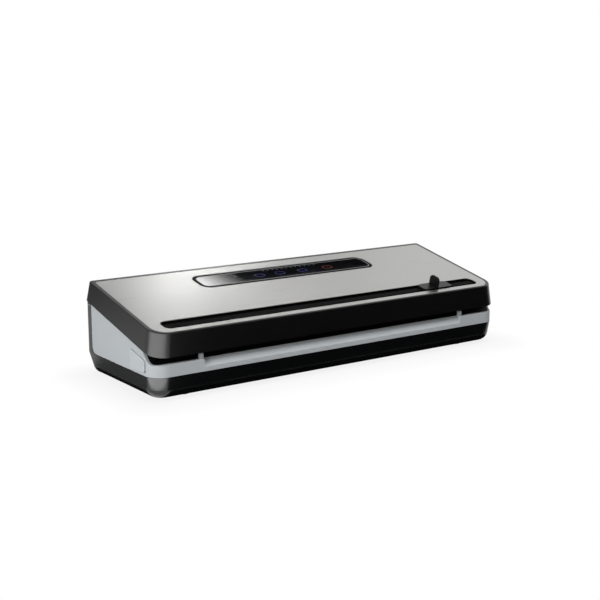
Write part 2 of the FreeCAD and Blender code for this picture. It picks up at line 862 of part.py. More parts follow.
def make_cutter_rail():
    """Rail under the slot: plate with the blade's slit and a raised strip that the slider straddles."""
    plate = slot_plan(rail_half, slot_front - rail_margin, slot_front + slot_width + rail_margin, rail_end_r,
                      -rail_top - rail_plate, -rail_top)
    strip_half = rail_strip_width / 2
    reach = slot_half - rail_strip_short
    strip = slot_plan(reach, slot_mid - strip_half, slot_mid + strip_half, strip_half * 0.9,
                      -rail_top, -rail_top + rail_strip_rise)
    slit = slot_plan(slot_half - slit_end, blade_p - slit_width / 2, blade_p + slit_width / 2, slit_width * 0.45,
                     -far / 20, far)
    return joined([plate, strip]).cut(slit)


def slider_low():
    """The underside of the slider's plate over the steel plane."""
    return -rail_top + rail_strip_rise + slider_lift


def holder_top():
    """The top of the blade holder's foot, just under the rail."""
    return -rail_top - rail_plate - slider_lift


def make_cutter_slider():
    """Slider plate with its thumb tab, the leg to the blade and the rear guide."""
    half_width = slot_width / 2 - slider_side_gap
    low = slider_low()
    top = low + slider_plate
    plate = plan_block(slider_length / 2, slot_mid - half_width, slot_mid + half_width,
                       slider_end_r, slider_end_r, low, top)
    rim = [e for e in plate.Edges if e.BoundBox.ZMin > top - 1e-6]
    plate = plate.makeFillet(slider_edge_r, rim)
    fin = box(-fin_shift - fin_thickness / 2, fin_thickness / 2 - fin_shift, slot_mid - fin_width / 2, slot_mid + fin_width / 2,
              low, top + fin_height)
    upper = [e for e in along(fin, V(1, 0, 0)) if e.CenterOfMass.z > top + fin_height - 1e-6]
    fin = fin.makeFillet(fin_r, upper)
    sides = [e for e in fin.Edges if e.BoundBox.XLength < 1e-6 and e.BoundBox.ZMin > low + 1e-6 or
             e.BoundBox.XLength < 1e-6 and e.BoundBox.ZLength > fin_height / 2]
    fin = fin.makeFillet(slider_edge_r, sides)
    leg = box(-leg_length / 2, leg_length / 2, blade_p - leg_width / 2, blade_p + leg_width / 2,
              holder_top() - holder_foot_thickness / 2, top)
    strip_edge = slot_mid + rail_strip_width / 2
    guide = box(-slider_length / 3, slider_length / 3, strip_edge + guide_gap, slot_mid + half_width,
                low - guide_depth, top)
    body = joined([plate, fin, leg, guide])
    body.translate(V(slider_x, 0, 0))
    return placed(body, steel_frame)


def make_blade_holder():
    """Foot that keeps the slider on its rail, with the wall that carries the blade."""
    high = holder_top()
    low = high - holder_foot_thickness
    foot = box(-holder_length / 2 - leg_width, holder_length / 2 + leg_width, blade_p - holder_foot / 2,
               blade_p + holder_foot / 2, low, high)
    wall_foot = -lid_local.z
    wall = box(-holder_length / 2, holder_length / 2, blade_p - leg_width / 2, blade_p + leg_width / 2, wall_foot, low)
    fit = blade_fit
    leg = box(-leg_length / 2 - fit, leg_length / 2 + fit, blade_p - leg_width / 2 - fit,
              blade_p + leg_width / 2 + fit, (low + high) / 2, high)
    body = joined([foot, wall]).cut(leg)
    seat = box(-blade_length / 2 - fit, blade_length / 2 + fit, blade_p - blade_thickness / 2 - fit,
               blade_p + blade_thickness / 2 + fit, wall_foot, wall_foot + blade_seat)
    body = body.cut(seat)
    body.translate(V(slider_x, 0, 0))
    return placed(body, steel_frame)


def make_cutter_blade():
    """Blade with two sloped cutting edges that meet in a low point."""
    top = -lid_local.z + blade_seat
    bottom = -blade_drop - blade_reach
    shoulder = (bottom + -lid_local.z) / 2
    half = blade_length / 2
    outline = ((-half, top), (half, top), (half, shoulder), (0.0, bottom), (-half, shoulder))
    points = [V(x + slider_x, blade_p - blade_thickness / 2, z) for x, z in outline]
    blade = Part.Face(Part.makePolygon(points + points[:1])).extrude(V(0, blade_thickness, 0))
    return placed(blade, steel_frame)


def make_panel():
    """Bezel ring, thin trim ring and glass of the control panel."""
    low = -panel_thickness - glass_drop
    inside = panel_gap + bezel_width
    bezel = panel_plan(-panel_gap, low, -bezel_drop).cut(panel_plan(-inside, -far, far))
    trim = panel_plan(-inside, low, -trim_drop).cut(panel_plan(-inside - trim_width, -far, far))
    glass = panel_plan(-inside - trim_width - glass_gap, low, -glass_drop)
    return bezel, trim, glass


def make_display():
    """Display board, its lamps and its screws."""
    middle = panel_front + panel_width / 2
    top = -rail_top - board_post_height
    board = steel_box(-board_half, board_half, middle - board_width / 2, middle + board_width / 2,
                      top - board_thickness, top)
    screws = []
    for x, p in board_post_points():
        board = board.cut(steel_rod(x, p, small_screw_r + screw_hole_gap, -far / 10, far / 10))
        head = steel_rod(x, p, small_head_r, top - board_thickness - small_head, top - board_thickness)
        shank = steel_rod(x, p, small_screw_r, top - board_thickness - small_head, top + board_post_height)
        screws.append(joined([head, shank]))
    lamps = []
    for index in range(lamp_count):
        x = lamp_first_x + index * lamp_pitch
        p = panel_front + lamp_row
        half = lamp_size / 2
        lamps.append(steel_box(x - half, x + half, p - half, p + half, top, top + lamp_height))
    for x in key_lamp_x:
        p = panel_front + key_lamp_row
        half = key_lamp_length / 2
        lamps.append(steel_box(x - half, x + half, p - lamp_size, p + lamp_size, top, top + lamp_height))
    return board, lamps, screws


def make_lid_cover():
    """Inner cover that closes the lid from below, with the seats of the gasket and the pressure strip."""
    side = lid_form(lid_wall + cover_gap, -1.0, far / 10)
    slab = lid_box(-far, far, -far, cover_rear, cover_height, cover_top)
    cover = side.common(slab)
    strip_half = strip_width / 2 + pad_margin
    pads = [gasket_ring(pad_margin, cover_height - pad_depth, cover_height + cover_thickness / 2)]
    pads.append(lid_box(-seal_bar_half - pad_margin, seal_bar_half + pad_margin, seal_v - strip_half,
                        seal_v + strip_half, cover_height - pad_depth, cover_height + cover_thickness / 2))
    cover = joined([cover] + pads)
    cuts = [gasket_ring(0.0, -far / 20, cover_height)]
    half = strip_width / 2 + gasket_fit
    cuts.append(lid_box(-seal_bar_half - gasket_fit, seal_bar_half + gasket_fit, seal_v - half, seal_v + half,
                        -far / 20, cover_height))
    cuts.append(slot_plan(slot_half - slit_end, blade_p - slit_width / 2, blade_p + slit_width / 2, slit_width * 0.45,
                          -far / 10, 0.0))
    for x, v in lid_screw_points():
        cuts.append(lid_rod(x, v, screw_shank_r + screw_hole_gap, -far / 20, far / 20))
    for shape in both_sides(hook_stem(hook_hole_gap, 0.0)):
        cuts.append(shape)
    return cover.cut(Part.makeCompound(cuts))


def hook_v():
    """The latch hooks' place up the slope of the lid line plane."""
    return latch_y / math.cos(math.radians(lid_tilt)) + hook_root_shift()


def hook_root_shift():
    """How far an upright hook is set up the slope between its tip and the lid line."""
    tip = latch_z + latch_thickness + hook_clear
    rise = lid_line_z + latch_y * math.tan(math.radians(lid_tilt)) - tip
    return -rise * math.sin(math.radians(lid_tilt)) / 2


def hook_stem(gap, barb):
    """The right hook's upright bar, grown by a gap, down to the tip."""
    tip = latch_z + latch_thickness + hook_clear
    place = lid_frame.inverse().multVec(V(0, latch_y, tip))
    half = hook_width / 2 + gap
    return lid_box(hook_x - barb - gap, hook_x + hook_thickness + gap, place.y - half, place.y + half,
                   place.z, cover_top + hook_flange_thickness / 2)


def make_latch_hook():
    """Right latch hook: flange on the cover, bar through it and a barb at the tip that faces inwards."""
    tip = latch_z + latch_thickness + hook_clear
    place = lid_frame.inverse().multVec(V(0, latch_y, tip))
    stem = hook_stem(0.0, 0.0)
    flange = lid_box(hook_x - hook_flange, hook_x + hook_flange, place.y - hook_flange, place.y + hook_flange,
                     cover_top, cover_top + hook_flange_thickness)
    half = hook_width / 2
    outline = ((hook_x, place.z), (hook_x, place.z + 2 * hook_barb), (hook_x - hook_barb, place.z + hook_barb))
    points = [V(x, place.y - half, w) for x, w in outline]
    barb = Part.Face(Part.makePolygon(points + points[:1])).extrude(V(0, hook_width, 0))
    return joined([stem, flange, placed(barb, lid_frame)])


def make_release_button():
    """Right release button: face through the side panel and a flange behind it."""
    face = button_block(0.0, inner_half - flange_gap - flange_thickness, base_half + button_proud)
    rim = [e for e in face.Edges if e.BoundBox.XMin > base_half + button_proud - 1e-6]
    face = face.makeFillet(button_edge_r, rim)
    flange = button_block(flange_margin, inner_half - flange_gap - flange_thickness, inner_half - flange_gap)
    return joined([face, flange])


def make_latch_slider():
    """Right latch slider: plate behind the button with the window that the hook snaps into."""
    back = inner_half - flange_gap - flange_thickness
    half = latch_width / 2
    plate = box(latch_edge_x - latch_bar, back, latch_y - half, latch_y + half, latch_z, latch_z + latch_thickness)
    window = box(latch_edge_x, latch_edge_x + window_length, latch_y - window_width / 2, latch_y + window_width / 2,
                 latch_z - 1, latch_z + latch_thickness + 1)
    return plate.cut(window)


def arc_from(start, tangent, end):
    """An arc that leaves a point along a tangent and ends at another point."""
    chord = end.sub(start)
    half = FreeCAD.Vector(tangent).normalize().getAngle(chord) / 2
    lean = FreeCAD.Vector(tangent).normalize().add(FreeCAD.Vector(chord).normalize()).normalize()
    middle = start.add(lean.multiply(chord.Length / 2 / math.cos(half)))
    return Part.Arc(start, middle, end).toShape()


def make_return_spring():
    """Right return spring: one wire along X, each quarter turn a pair of tangent arcs."""
    end = latch_edge_x - latch_bar - spring_gap - spring_wire_r
    start = end - spring_length + 2 * (spring_gap + spring_wire_r)
    centre_z = latch_z + latch_thickness / 2
    pitch = (end - start) / spring_turns

    def point(turn):
        angle = 2 * math.pi * turn
        return V(start + pitch * turn, latch_y + spring_r * math.cos(angle), centre_z + spring_r * math.sin(angle))

    def tangent(turn):
        angle = 2 * math.pi * turn
        rim = 2 * math.pi * spring_r
        return V(pitch, -rim * math.sin(angle), rim * math.cos(angle)).normalize()

    edges = []
    for quarter in range(4 * spring_turns):
        p0, p1 = point(quarter / 4), point((quarter + 1) / 4)
        t0, t1 = tangent(quarter / 4), tangent((quarter + 1) / 4)
        chord = p1.sub(p0)
        total = t0.add(t1)
        spread = 2 * (1 - t0.dot(t1))
        reach = (-chord.dot(total) + math.sqrt(chord.dot(total) ** 2 + spread * chord.dot(chord))) / spread
        middle = p0.add(p1).add(t0.sub(t1).multiply(reach)).multiply(0.5)
        turn_tangent = p1.sub(p0).sub(total.multiply(reach)).add(V(0, 0, 0))
        join = middle.sub(p0).sub(FreeCAD.Vector(t0).multiply(reach))
        direction = join if join.Length > 1e-9 else turn_tangent
        edges.append(arc_from(p0, t0, middle))
        edges.append(arc_from(middle, direction.normalize(), p1))
    path = Part.Wire(edges)
    circle = Part.Wire(Part.makeCircle(spring_wire_r, point(0), tangent(0)))
    spring = path.makePipeShell([circle], True, False)
    samples = [point(i / 24) for i in range(24 * spring_turns + 1)]
    gaps = [a.sub(b).Length for i, a in enumerate(samples) for b in samples[i + 12:]]
    print("return spring: least gap to itself", round(min(gaps) - 2 * spring_wire_r, 2), "mm")
    return Part.Solid(spring) if spring.ShapeType == "Shell" else spring


def make_lid_switch():
    """Right lid switch with its small button, next to the hook."""
    x0, x1 = switch_span_x()
    y0, y1 = switch_span_y()
    body = box(x0, x1, y0, y1, switch_floor(), latch_z)
    middle = V((x0 + x1) / 2, y0 + switch_gap, latch_z)
    return joined([body, rod(middle, middle.add(V(0, 0, switch_button_height)), switch_button_r)])


def make_seal():
    """Seal bar, heating strip and the release tape that covers it."""
    half = seal_bar_width / 2
    bar = lid_box(-seal_bar_half, seal_bar_half, seal_v - half, seal_v + half, -deck_drop - gasket_seat, seal_bar_top)
    heat = lid_box(-heat_half, heat_half, seal_v - heat_width / 2, seal_v + heat_width / 2,
                   seal_bar_top, seal_bar_top + heat_thickness)
    top = seal_bar_top + heat_thickness + tape_fit
    reach = heat_half + tape_overlap
    tape = lid_box(-reach, reach, seal_v - tape_width / 2, seal_v + tape_width / 2, seal_bar_top, top + tape_thickness)
    room = heat_width / 2 + tape_fit
    tape = tape.cut(lid_box(-heat_half - tape_fit, heat_half + tape_fit, seal_v - room, seal_v + room, -far / 20, top))
    strip = lid_box(-seal_bar_half, seal_bar_half, seal_v - strip_width / 2, seal_v + strip_width / 2,
                    top + tape_thickness + seal_gap, cover_height)
    return bar, heat, tape, strip


def make_gaskets():
    """Lower and upper gasket rings, a hair apart at rest."""
    lower = gasket_ring(-gasket_fit, -deck_drop - gasket_seat, gasket_top)
    upper = gasket_ring(-gasket_fit, gasket_top + seal_gap, cover_height)
    return lower, upper


def make_intake():
    """Intake nozzle: rim in the trough floor and the spigot under it, with its bore."""
    place = lid_frame.multVec(V(intake_x, intake_v, -deck_drop - trough_depth))
    high = V(place.x, place.y, place.z + intake_rim_r)
    low = V(place.x, place.y, place.z - trough_wall - intake_drop)
    spigot = rod(low, high, nozzle_r)
    rim = lid_rod(intake_x, intake_v, intake_rim_r, -deck_drop - trough_depth, -deck_drop - trough_depth + intake_rim)
    above = lid_box(-far, far, -far, far, -deck_drop - trough_depth + intake_rim, far)
    body = joined([spigot, rim]).cut(above)
    return body.cut(rod(low, high, nozzle_bore_r))


def tube(points, bend, radius, bore):
    """A tube along straight runs joined by tangent arcs."""
    edges = []
    last = points[0]
    for before, corner, after in zip(points, points[1:], points[2:]):
        back = before.sub(corner).normalize()
        ahead = after.sub(corner).normalize()
        half = back.getAngle(ahead) / 2
        reach = bend / math.tan(half)
        begin = corner.add(FreeCAD.Vector(back).multiply(reach))
        end = corner.add(FreeCAD.Vector(ahead).multiply(reach))
        bisector = back.add(ahead).normalize()
        middle = corner.add(bisector.multiply(bend / math.sin(half) - bend))
        edges.append(Part.makeLine(last, begin))
        edges.append(Part.Arc(begin, middle, end).toShape())
        last = end
    edges.append(Part.makeLine(last, points[-1]))
    path = Part.Wire(edges)
    direction = points[1].sub(points[0])
    solids = []
    for size in (radius, bore):
        circle = Part.Wire(Part.makeCircle(size, points[0], direction))
        shell = path.makePipeShell([circle], True, False)
        solids.append(Part.Solid(shell) if shell.ShapeType == "Shell" else shell)
    return solids[0].cut(solids[1])


def inlet_nozzle_x():
    """The pump's suction nozzle along X."""
    return motor_right + head_length / 4


def make_hose():
    """Vacuum hose from the intake to the pump's suction nozzle."""
    place = lid_frame.multVec(V(intake_x, intake_v, -deck_drop - trough_depth))
    top = place.z - trough_wall - hose_wall
    bore = nozzle_r + hose_fit
    front = pump_y - head_size / 2
    points = [V(place.x, place.y, top), V(place.x, place.y, hose_z), V(inlet_nozzle_x(), place.y, hose_z),
              V(inlet_nozzle_x(), front - hose_wall / 2, hose_z)]
    return tube(points, hose_bend, bore + hose_wall, bore)


def make_motor():
    """Motor can with its bearings, two magnets, and the armature on its shaft."""
    a = V(motor_left, pump_y, pump_z)
    b = V(motor_right, pump_y, pump_z)
    inside = V(motor_wall, 0, 0)
    can = rod(a, b, motor_r).cut(rod(a.add(inside), b.sub(inside), motor_r - motor_wall))
    for seat, way in ((a.add(inside), 1), (b.sub(inside), -1)):
        can = can.fuse(rod(seat, seat.add(V(way * bearing_length, 0, 0)), bearing_r))
    can = can.removeSplitter().cut(rod(a.sub(inside), b.add(inside), shaft_r + shaft_fit))
    mid = V((motor_left + motor_right) / 2, pump_y, pump_z)
    half = V(armature_length / 2, 0, 0)
    magnet_ring = ring(mid.sub(half), mid.add(half), motor_r - motor_wall, motor_r - motor_wall - magnet_thickness)
    gap = box(motor_left, motor_right, pump_y - far, pump_y + far, pump_z - bearing_r, pump_z + bearing_r)
    magnets = magnet_ring.cut(gap).Solids
    reach = motor_right + head_wall + crank_gap + crank_thickness
    shaft = rod(a.sub(inside), V(reach, pump_y, pump_z), shaft_r)
    core = rod(mid.sub(half), mid.add(half), armature_r)
    drum_end = mid.x - armature_length / 2
    drum = rod(V(drum_end - commutator_length, pump_y, pump_z), V(drum_end, pump_y, pump_z), commutator_r)
    armature = joined([shaft, core, drum])
    start = motor_right + head_wall + crank_gap
    wheel = rod(V(start, pump_y, pump_z + crank_offset), V(start + crank_thickness, pump_y, pump_z + crank_offset), crank_r)
    wheel = wheel.cut(rod(V(start - 1, pump_y, pump_z), V(reach + 1, pump_y, pump_z), shaft_r + hinge_press_fit))
    return can, magnets, armature, wheel


def make_pump_head():
    """Pump housing with the crank chamber and its nozzles, diaphragm, end cover and screws."""
    half = head_size / 2
    end = head_right - head_cover - diaphragm_thickness
    body = box(motor_right, end, pump_y - half, pump_y + half, bracket_z + bracket_thickness, pump_z + half)
    middle = (motor_right + end) / 2
    chamber = rod(V(motor_right + head_wall, pump_y, pump_z), V(middle + head_wall, pump_y, pump_z),
                  crank_r + crank_offset + crank_gap)
    way = rod(V(motor_right - 1, pump_y, pump_z), V(middle, pump_y, pump_z), shaft_r + shaft_fit)
    suction = V(inlet_nozzle_x(), pump_y - half, hose_z)
    spigot = rod(suction.add(V(0, 1, 0)), suction.sub(V(0, nozzle_length, 0)), nozzle_r)
    outlet = V(end - head_length / 4, pump_y - half, pump_z + half / 6)
    blow = rod(outlet.add(V(0, 1, 0)), outlet.sub(V(0, nozzle_length / 3, 0)), nozzle_r)
    body = joined([body, spigot, blow])
    body = body.cut(chamber).cut(way)
    for start in (suction, outlet):
        body = body.cut(rod(start.sub(V(0, nozzle_length + 1, 0)), start.add(V(0, head_wall, 0)), nozzle_bore_r))
    plug_end = head_right - head_cover
    diaphragm = rod(V(end, pump_y, pump_z), V(plug_end, pump_y, pump_z), diaphragm_r)
    low = bracket_z + bracket_thickness
    cover = box(plug_end, head_right, pump_y - half, pump_y + half, low, pump_z + half)
    frame = box(end, plug_end, pump_y - half, pump_y + half, low, pump_z + half)
    frame = frame.cut(rod(V(end - 1, pump_y, pump_z), V(head_right, pump_y, pump_z), diaphragm_r + hose_fit))
    cover = joined([cover, frame])
    screws = []
    reach = half - bracket_margin
    for y in (pump_y - reach, pump_y + reach):
        for z in (pump_z - reach, pump_z + reach):
            deep = V(end - screw_depth, y, z)
            face = V(head_right, y, z)
            hole = rod(deep, face, small_screw_r + screw_fit)
            body = body.cut(hole)
            cover = cover.cut(hole)
            screws.append(joined([rod(deep, face, small_screw_r), rod(face, face.add(V(small_head, 0, 0)), small_head_r)]))
    return body, diaphragm, cover, screws


def make_pump_bracket():
    """Sheet bracket on the four tray posts with two saddles under the motor, and its screws."""
    half = head_size / 2
    top = bracket_z + bracket_thickness
    plate = box(motor_left, head_right, pump_y - half, pump_y + half, bracket_z, top)
    saddles = []
    for x in (motor_left + saddle_inset, motor_right - saddle_inset):
        saddle = box(x, x + bracket_thickness, pump_y - half + bracket_margin, pump_y + half - bracket_margin,
                     top, top + saddle_height)
        saddles.append(saddle.cut(rod(V(motor_left, pump_y, pump_z), V(motor_right, pump_y, pump_z), motor_r)))
    bracket = joined([plate] + saddles)
    screws = []
    for x in pump_post_x():
        for y in pump_post_y():
            bracket = bracket.cut(rod(V(x, y, 0), V(x, y, far), small_screw_r + screw_hole_gap))
            shank = rod(V(x, y, bracket_z - small_screw_depth / 2), V(x, y, top), small_screw_r)
            head = rod(V(x, y, top), V(x, y, top + small_head), small_head_r)
            screws.append(joined([shank, head]))
    return bracket, screws


def make_electrics():
    """Transformer, power board with its parts, and the board's screws."""
    x0 = transformer_x - transformer_length / 2
    x1 = transformer_x + transformer_length / 2
    y0 = pump_y - transformer_width / 2
    y1 = pump_y + transformer_width / 2
    low = floor_z + base_seat
    core = box(x0, x1, y0 + core_gap, y1 - core_gap, low, low + transformer_height)
    winding = box(x0 + core_limb / 2, x1 - core_limb / 2, y0, y1, low + core_limb / 2, low + transformer_height - core_limb / 2)
    transformer = joined([core, winding])
    half_x = power_board_length / 2
    half_y = power_board_width / 2
    top = power_board_z + board_thickness
    board = box(power_board_x - half_x, power_board_x + half_x, power_board_y - half_y, power_board_y + half_y,
                power_board_z, top)
    screws = []
    for x, y in power_post_points():
        board = board.cut(rod(V(x, y, 0), V(x, y, far), small_screw_r + screw_hole_gap))
        shank = rod(V(x, y, power_board_z - small_screw_depth), V(x, y, top), small_screw_r)
        head = rod(V(x, y, top), V(x, y, top + small_head), small_head_r)
        screws.append(joined([shank, head]))
    relay = box(power_board_x - half_x / 2, power_board_x - half_x / 8, power_board_y - half_y / 2, power_board_y,
                top, top + core_limb)
    capacitor = V(power_board_x + half_x / 3, power_board_y - half_y / 4, top)
    can = rod(capacitor, capacitor.add(V(0, 0, core_limb)), core_limb / 3)
    sink = box(power_board_x - half_x / 8, power_board_x + half_x / 2, power_board_y + half_y / 4,
               power_board_y + half_y / 2, top, top + core_limb)
    return transformer, board, [relay, can, sink], screws


def make_inlet():
    """Mains inlet in the rear wall: body with its recess, and two pins."""
    body = inlet_block(0.0)
    radius = inlet_recess_height / 2
    reach = inlet_recess_width / 2 - radius
    deep = rear_y - inlet_recess_depth
    recess = box(inlet_x - reach, inlet_x + reach, deep, far, inlet_z - radius, inlet_z + radius)
    for side in (-reach, reach):
        recess = recess.fuse(rod(V(inlet_x + side, deep, inlet_z), V(inlet_x + side, far, inlet_z), radius))
    body = body.cut(recess)
    pins = []
    for side in (-inlet_pin_pitch / 2, inlet_pin_pitch / 2):
        start = V(inlet_x + side, deep - inlet_pin_tail, inlet_z)
        end = V(inlet_x + side, deep + inlet_pin_length, inlet_z)
        body = body.cut(rod(start, end, inlet_pin_r + hinge_press_fit))
        pin = rod(start, end, inlet_pin_r)
        tip = [e for e in pin.Edges if e.BoundBox.YMin > end.y - 1e-6]
        pins.append(pin.makeFillet(inlet_pin_r / 2, tip))
    return body, pins


def make_base_screws():
    """The six screws that hold the tray and the deck together."""
    screws = []
    seat = base_boss_top - base_seat
    for x, y in screw_points():
        head = rod(V(x, y, seat - screw_head), V(x, y, seat), screw_head_r)
        shank = rod(V(x, y, seat), V(x, y, base_boss_top + screw_depth), screw_shank_r)
        screws.append(joined([head, shank]))
    return screws


def make_lid_screws():
    """The six screws that hold the cover in the lid."""
    screws = []
    for x, v in lid_screw_points():
        head = lid_rod(x, v, screw_head_r, cover_height - screw_head, cover_height)
        shank = lid_rod(x, v, screw_shank_r, cover_height, cover_height + screw_depth)
        screws.append(joined([head, shank]))
    return screws


def make_feet():
    """Four rubber feet with a rounded lower edge, seated in the tray."""
    feet = []
    for x, y in foot_points():
        foot = rod(V(x, y, 0), V(x, y, foot_height + foot_seat), foot_r)
        low = [e for e in foot.Edges if e.BoundBox.ZMax < 1e-6]
        feet.append(foot.makeFillet(foot_height / 4, low))
    return feet


def make_hinge_pins():
    """The two hinge pins."""
    half = hinge_pin_length / 2
    return [hinge_axis_rod(x - half, x + half, hinge_pin_r) for x in (-hinge_lug_x, hinge_lug_x)]


os.makedirs("parts", exist_ok=True)
export("base_tray", make_base_tray())
grey_casing, chamber_deck = make_upper_casing()
export("grey_casing", grey_casing)
export("chamber_deck", chamber_deck)
export("bag_guides", *make_bag_guides())
export("lid_shell", make_lid_shell())
export("steel_plate", make_steel_plate())
export("cutter_rail", make_cutter_rail())
export("cutter_slider", make_cutter_slider())
export("blade_holder", make_blade_holder())
export("cutter_blade", make_cutter_blade())
bezel, trim, glass = make_panel()
export("panel_bezel", bezel)
export("panel_trim", trim)
export("panel_glass", glass)
display_board, display_lamps, display_screws = make_display()
export("display_board", display_board)
export("display_lamps", *display_lamps)
export("display_screws", *display_screws)
export("lid_cover", make_lid_cover())
export("lid_screws", *make_lid_screws())
seal_bar, heating_strip, release_tape, pressure_strip = make_seal()
export("seal_bar", seal_bar)
export("heating_strip", heating_strip)
export("release_tape", release_tape)
export("pressure_strip", pressure_strip)
lower_gasket, upper_gasket = make_gaskets()
export("lower_gasket", lower_gasket)
export("upper_gasket", upper_gasket)
export("latch_hooks", *both_sides(make_latch_hook()))
for piece, shape in (("release_button", make_release_button()), ("latch_slider", make_latch_slider()),
                     ("return_spring", make_return_spring())):
    for side, half in zip(("right", "left"), both_sides(shape)):
        export(side + "_" + piece, half)
export("lid_switches", *both_sides(make_lid_switch()))
export("hinge_pins", *make_hinge_pins())
export("intake_nozzle", make_intake())
export("vacuum_hose", make_hose())
motor_can, motor_magnets, motor_armature, crank_wheel = make_motor()
export("motor_can", motor_can)
export("motor_magnets", *motor_magnets)
export("motor_armature", motor_armature)
export("crank_wheel", crank_wheel)
pump_head, pump_diaphragm, pump_cover, pump_screws = make_pump_head()
export("pump_head", pump_head)
export("pump_diaphragm", pump_diaphragm)
export("pump_cover", pump_cover)
export("pump_screws", *pump_screws)
pump_bracket, bracket_screws = make_pump_bracket()
export("pump_bracket", pump_bracket)
export("bracket_screws", *bracket_screws)
transformer, power_board, board_parts, board_screws = make_electrics()
export("transformer", transformer)
export("power_board", power_board)
export("board_parts", *board_parts)
export("board_screws", *board_screws)
mains_inlet, inlet_pins = make_inlet()
export("mains_inlet", mains_inlet)
export("inlet_pins", *inlet_pins)
export("base_screws", *make_base_screws())
export("rubber_feet", *make_feet())
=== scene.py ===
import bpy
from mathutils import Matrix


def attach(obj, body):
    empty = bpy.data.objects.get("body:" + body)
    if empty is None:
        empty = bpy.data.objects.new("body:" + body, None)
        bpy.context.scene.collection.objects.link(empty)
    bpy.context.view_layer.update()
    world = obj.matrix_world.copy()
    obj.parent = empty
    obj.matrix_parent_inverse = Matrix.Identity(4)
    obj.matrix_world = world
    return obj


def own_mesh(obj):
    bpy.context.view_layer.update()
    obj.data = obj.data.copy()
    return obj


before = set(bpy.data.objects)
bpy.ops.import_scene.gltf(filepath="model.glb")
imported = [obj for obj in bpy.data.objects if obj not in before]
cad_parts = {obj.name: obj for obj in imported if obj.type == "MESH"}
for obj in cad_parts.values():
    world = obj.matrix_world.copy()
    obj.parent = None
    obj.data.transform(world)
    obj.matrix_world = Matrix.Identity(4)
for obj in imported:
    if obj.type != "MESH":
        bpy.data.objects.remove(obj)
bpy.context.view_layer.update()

import math

import bpy
import numpy as np
from mathutils import Vector

bl_info = {
    "name": "Vacuum sealer finishes",
    "version": (1, 0, 0),
    "blender": (4, 5, 0),
    "location": "View3D > Sidebar > Sealer",
    "description": "Finishes, panel marks and studio of a counter-top vacuum sealer",
    "category": "Object",
}


# Settings that a user would change

class SealerFinishSettings(bpy.types.PropertyGroup):
    """Colours of the casing, lid, metal and panel marks."""

    lid_black: bpy.props.FloatVectorProperty(
        name="Lid black", description="Colour of the lid and the cutter",
        default=(0.0022, 0.0022, 0.0024), subtype="COLOR")
    tray_black: bpy.props.FloatVectorProperty(
        name="Tray black", description="Colour of the lower casing",
        default=(0.0020, 0.0026, 0.0030), subtype="COLOR")
    case_grey: bpy.props.FloatVectorProperty(
        name="Casing grey", description="Colour of the side panels, front band and buttons",
        default=(0.440, 0.465, 0.480), subtype="COLOR")
    deck_black: bpy.props.FloatVectorProperty(
        name="Deck black", description="Colour of the deck inside the casing",
        default=(0.0030, 0.0030, 0.0032), subtype="COLOR")
    steel: bpy.props.FloatVectorProperty(
        name="Steel", description="Colour of the brushed plate",
        default=(0.430, 0.428, 0.417), subtype="COLOR")
    panel_black: bpy.props.FloatVectorProperty(
        name="Panel black", description="Colour behind the control panel's glass",
        default=(0.0015, 0.0015, 0.0018), subtype="COLOR")
    dot_white: bpy.props.FloatVectorProperty(
        name="Dot white", description="Colour of the level dots",
        default=(0.16, 0.16, 0.18), subtype="COLOR")
    key_blue: bpy.props.FloatVectorProperty(
        name="Key blue", description="Colour of the lit keys",
        default=(0.016, 0.024, 0.24), subtype="COLOR")
    key_red: bpy.props.FloatVectorProperty(
        name="Key red", description="Colour of the stop key",
        default=(0.20, 0.03, 0.016), subtype="COLOR")


class SealerPanelSettings(bpy.types.PropertyGroup):
    """Sizes and places of the marks on the control panel."""

    dot_radius: bpy.props.FloatProperty(
        name="Dot radius", description="Radius of a level dot",
        default=0.00055, unit="LENGTH")
    dot_pitch: bpy.props.FloatProperty(
        name="Dot pitch", description="Distance between level dots",
        default=0.0056, unit="LENGTH")
    dot_count: bpy.props.IntProperty(
        name="Dots", description="Number of level dots", default=12)
    dot_first: bpy.props.FloatProperty(
        name="First dot", description="Place of the first dot along the panel",
        default=-0.022, unit="LENGTH")
    dot_row: bpy.props.FloatProperty(
        name="Dot row", description="Distance of the dots behind the panel's middle",
        default=0.0085, unit="LENGTH")
    key_places: bpy.props.FloatVectorProperty(
        name="Key places", description="Places of the lit keys along the panel",
        default=(-0.032, -0.008, 0.019), unit="LENGTH")
    stop_place: bpy.props.FloatProperty(
        name="Stop key place", description="Place of the stop key along the panel",
        default=0.050, unit="LENGTH")
    key_row: bpy.props.FloatProperty(
        name="Key row", description="Distance of the keys in front of the panel's middle",
        default=0.0012, unit="LENGTH")
    key_length: bpy.props.FloatProperty(
        name="Key length", description="Length of a key's outline along the panel",
        default=0.0105, unit="LENGTH")
    key_width: bpy.props.FloatProperty(
        name="Key width", description="Width of a key's outline across the panel",
        default=0.0062, unit="LENGTH")
    key_line: bpy.props.FloatProperty(
        name="Key line", description="Thickness of a key's outline",
        default=0.0003, unit="LENGTH")
    mark_height: bpy.props.FloatProperty(
        name="Mark height", description="Height of a printed mark over the glass",
        default=0.00004, unit="LENGTH")


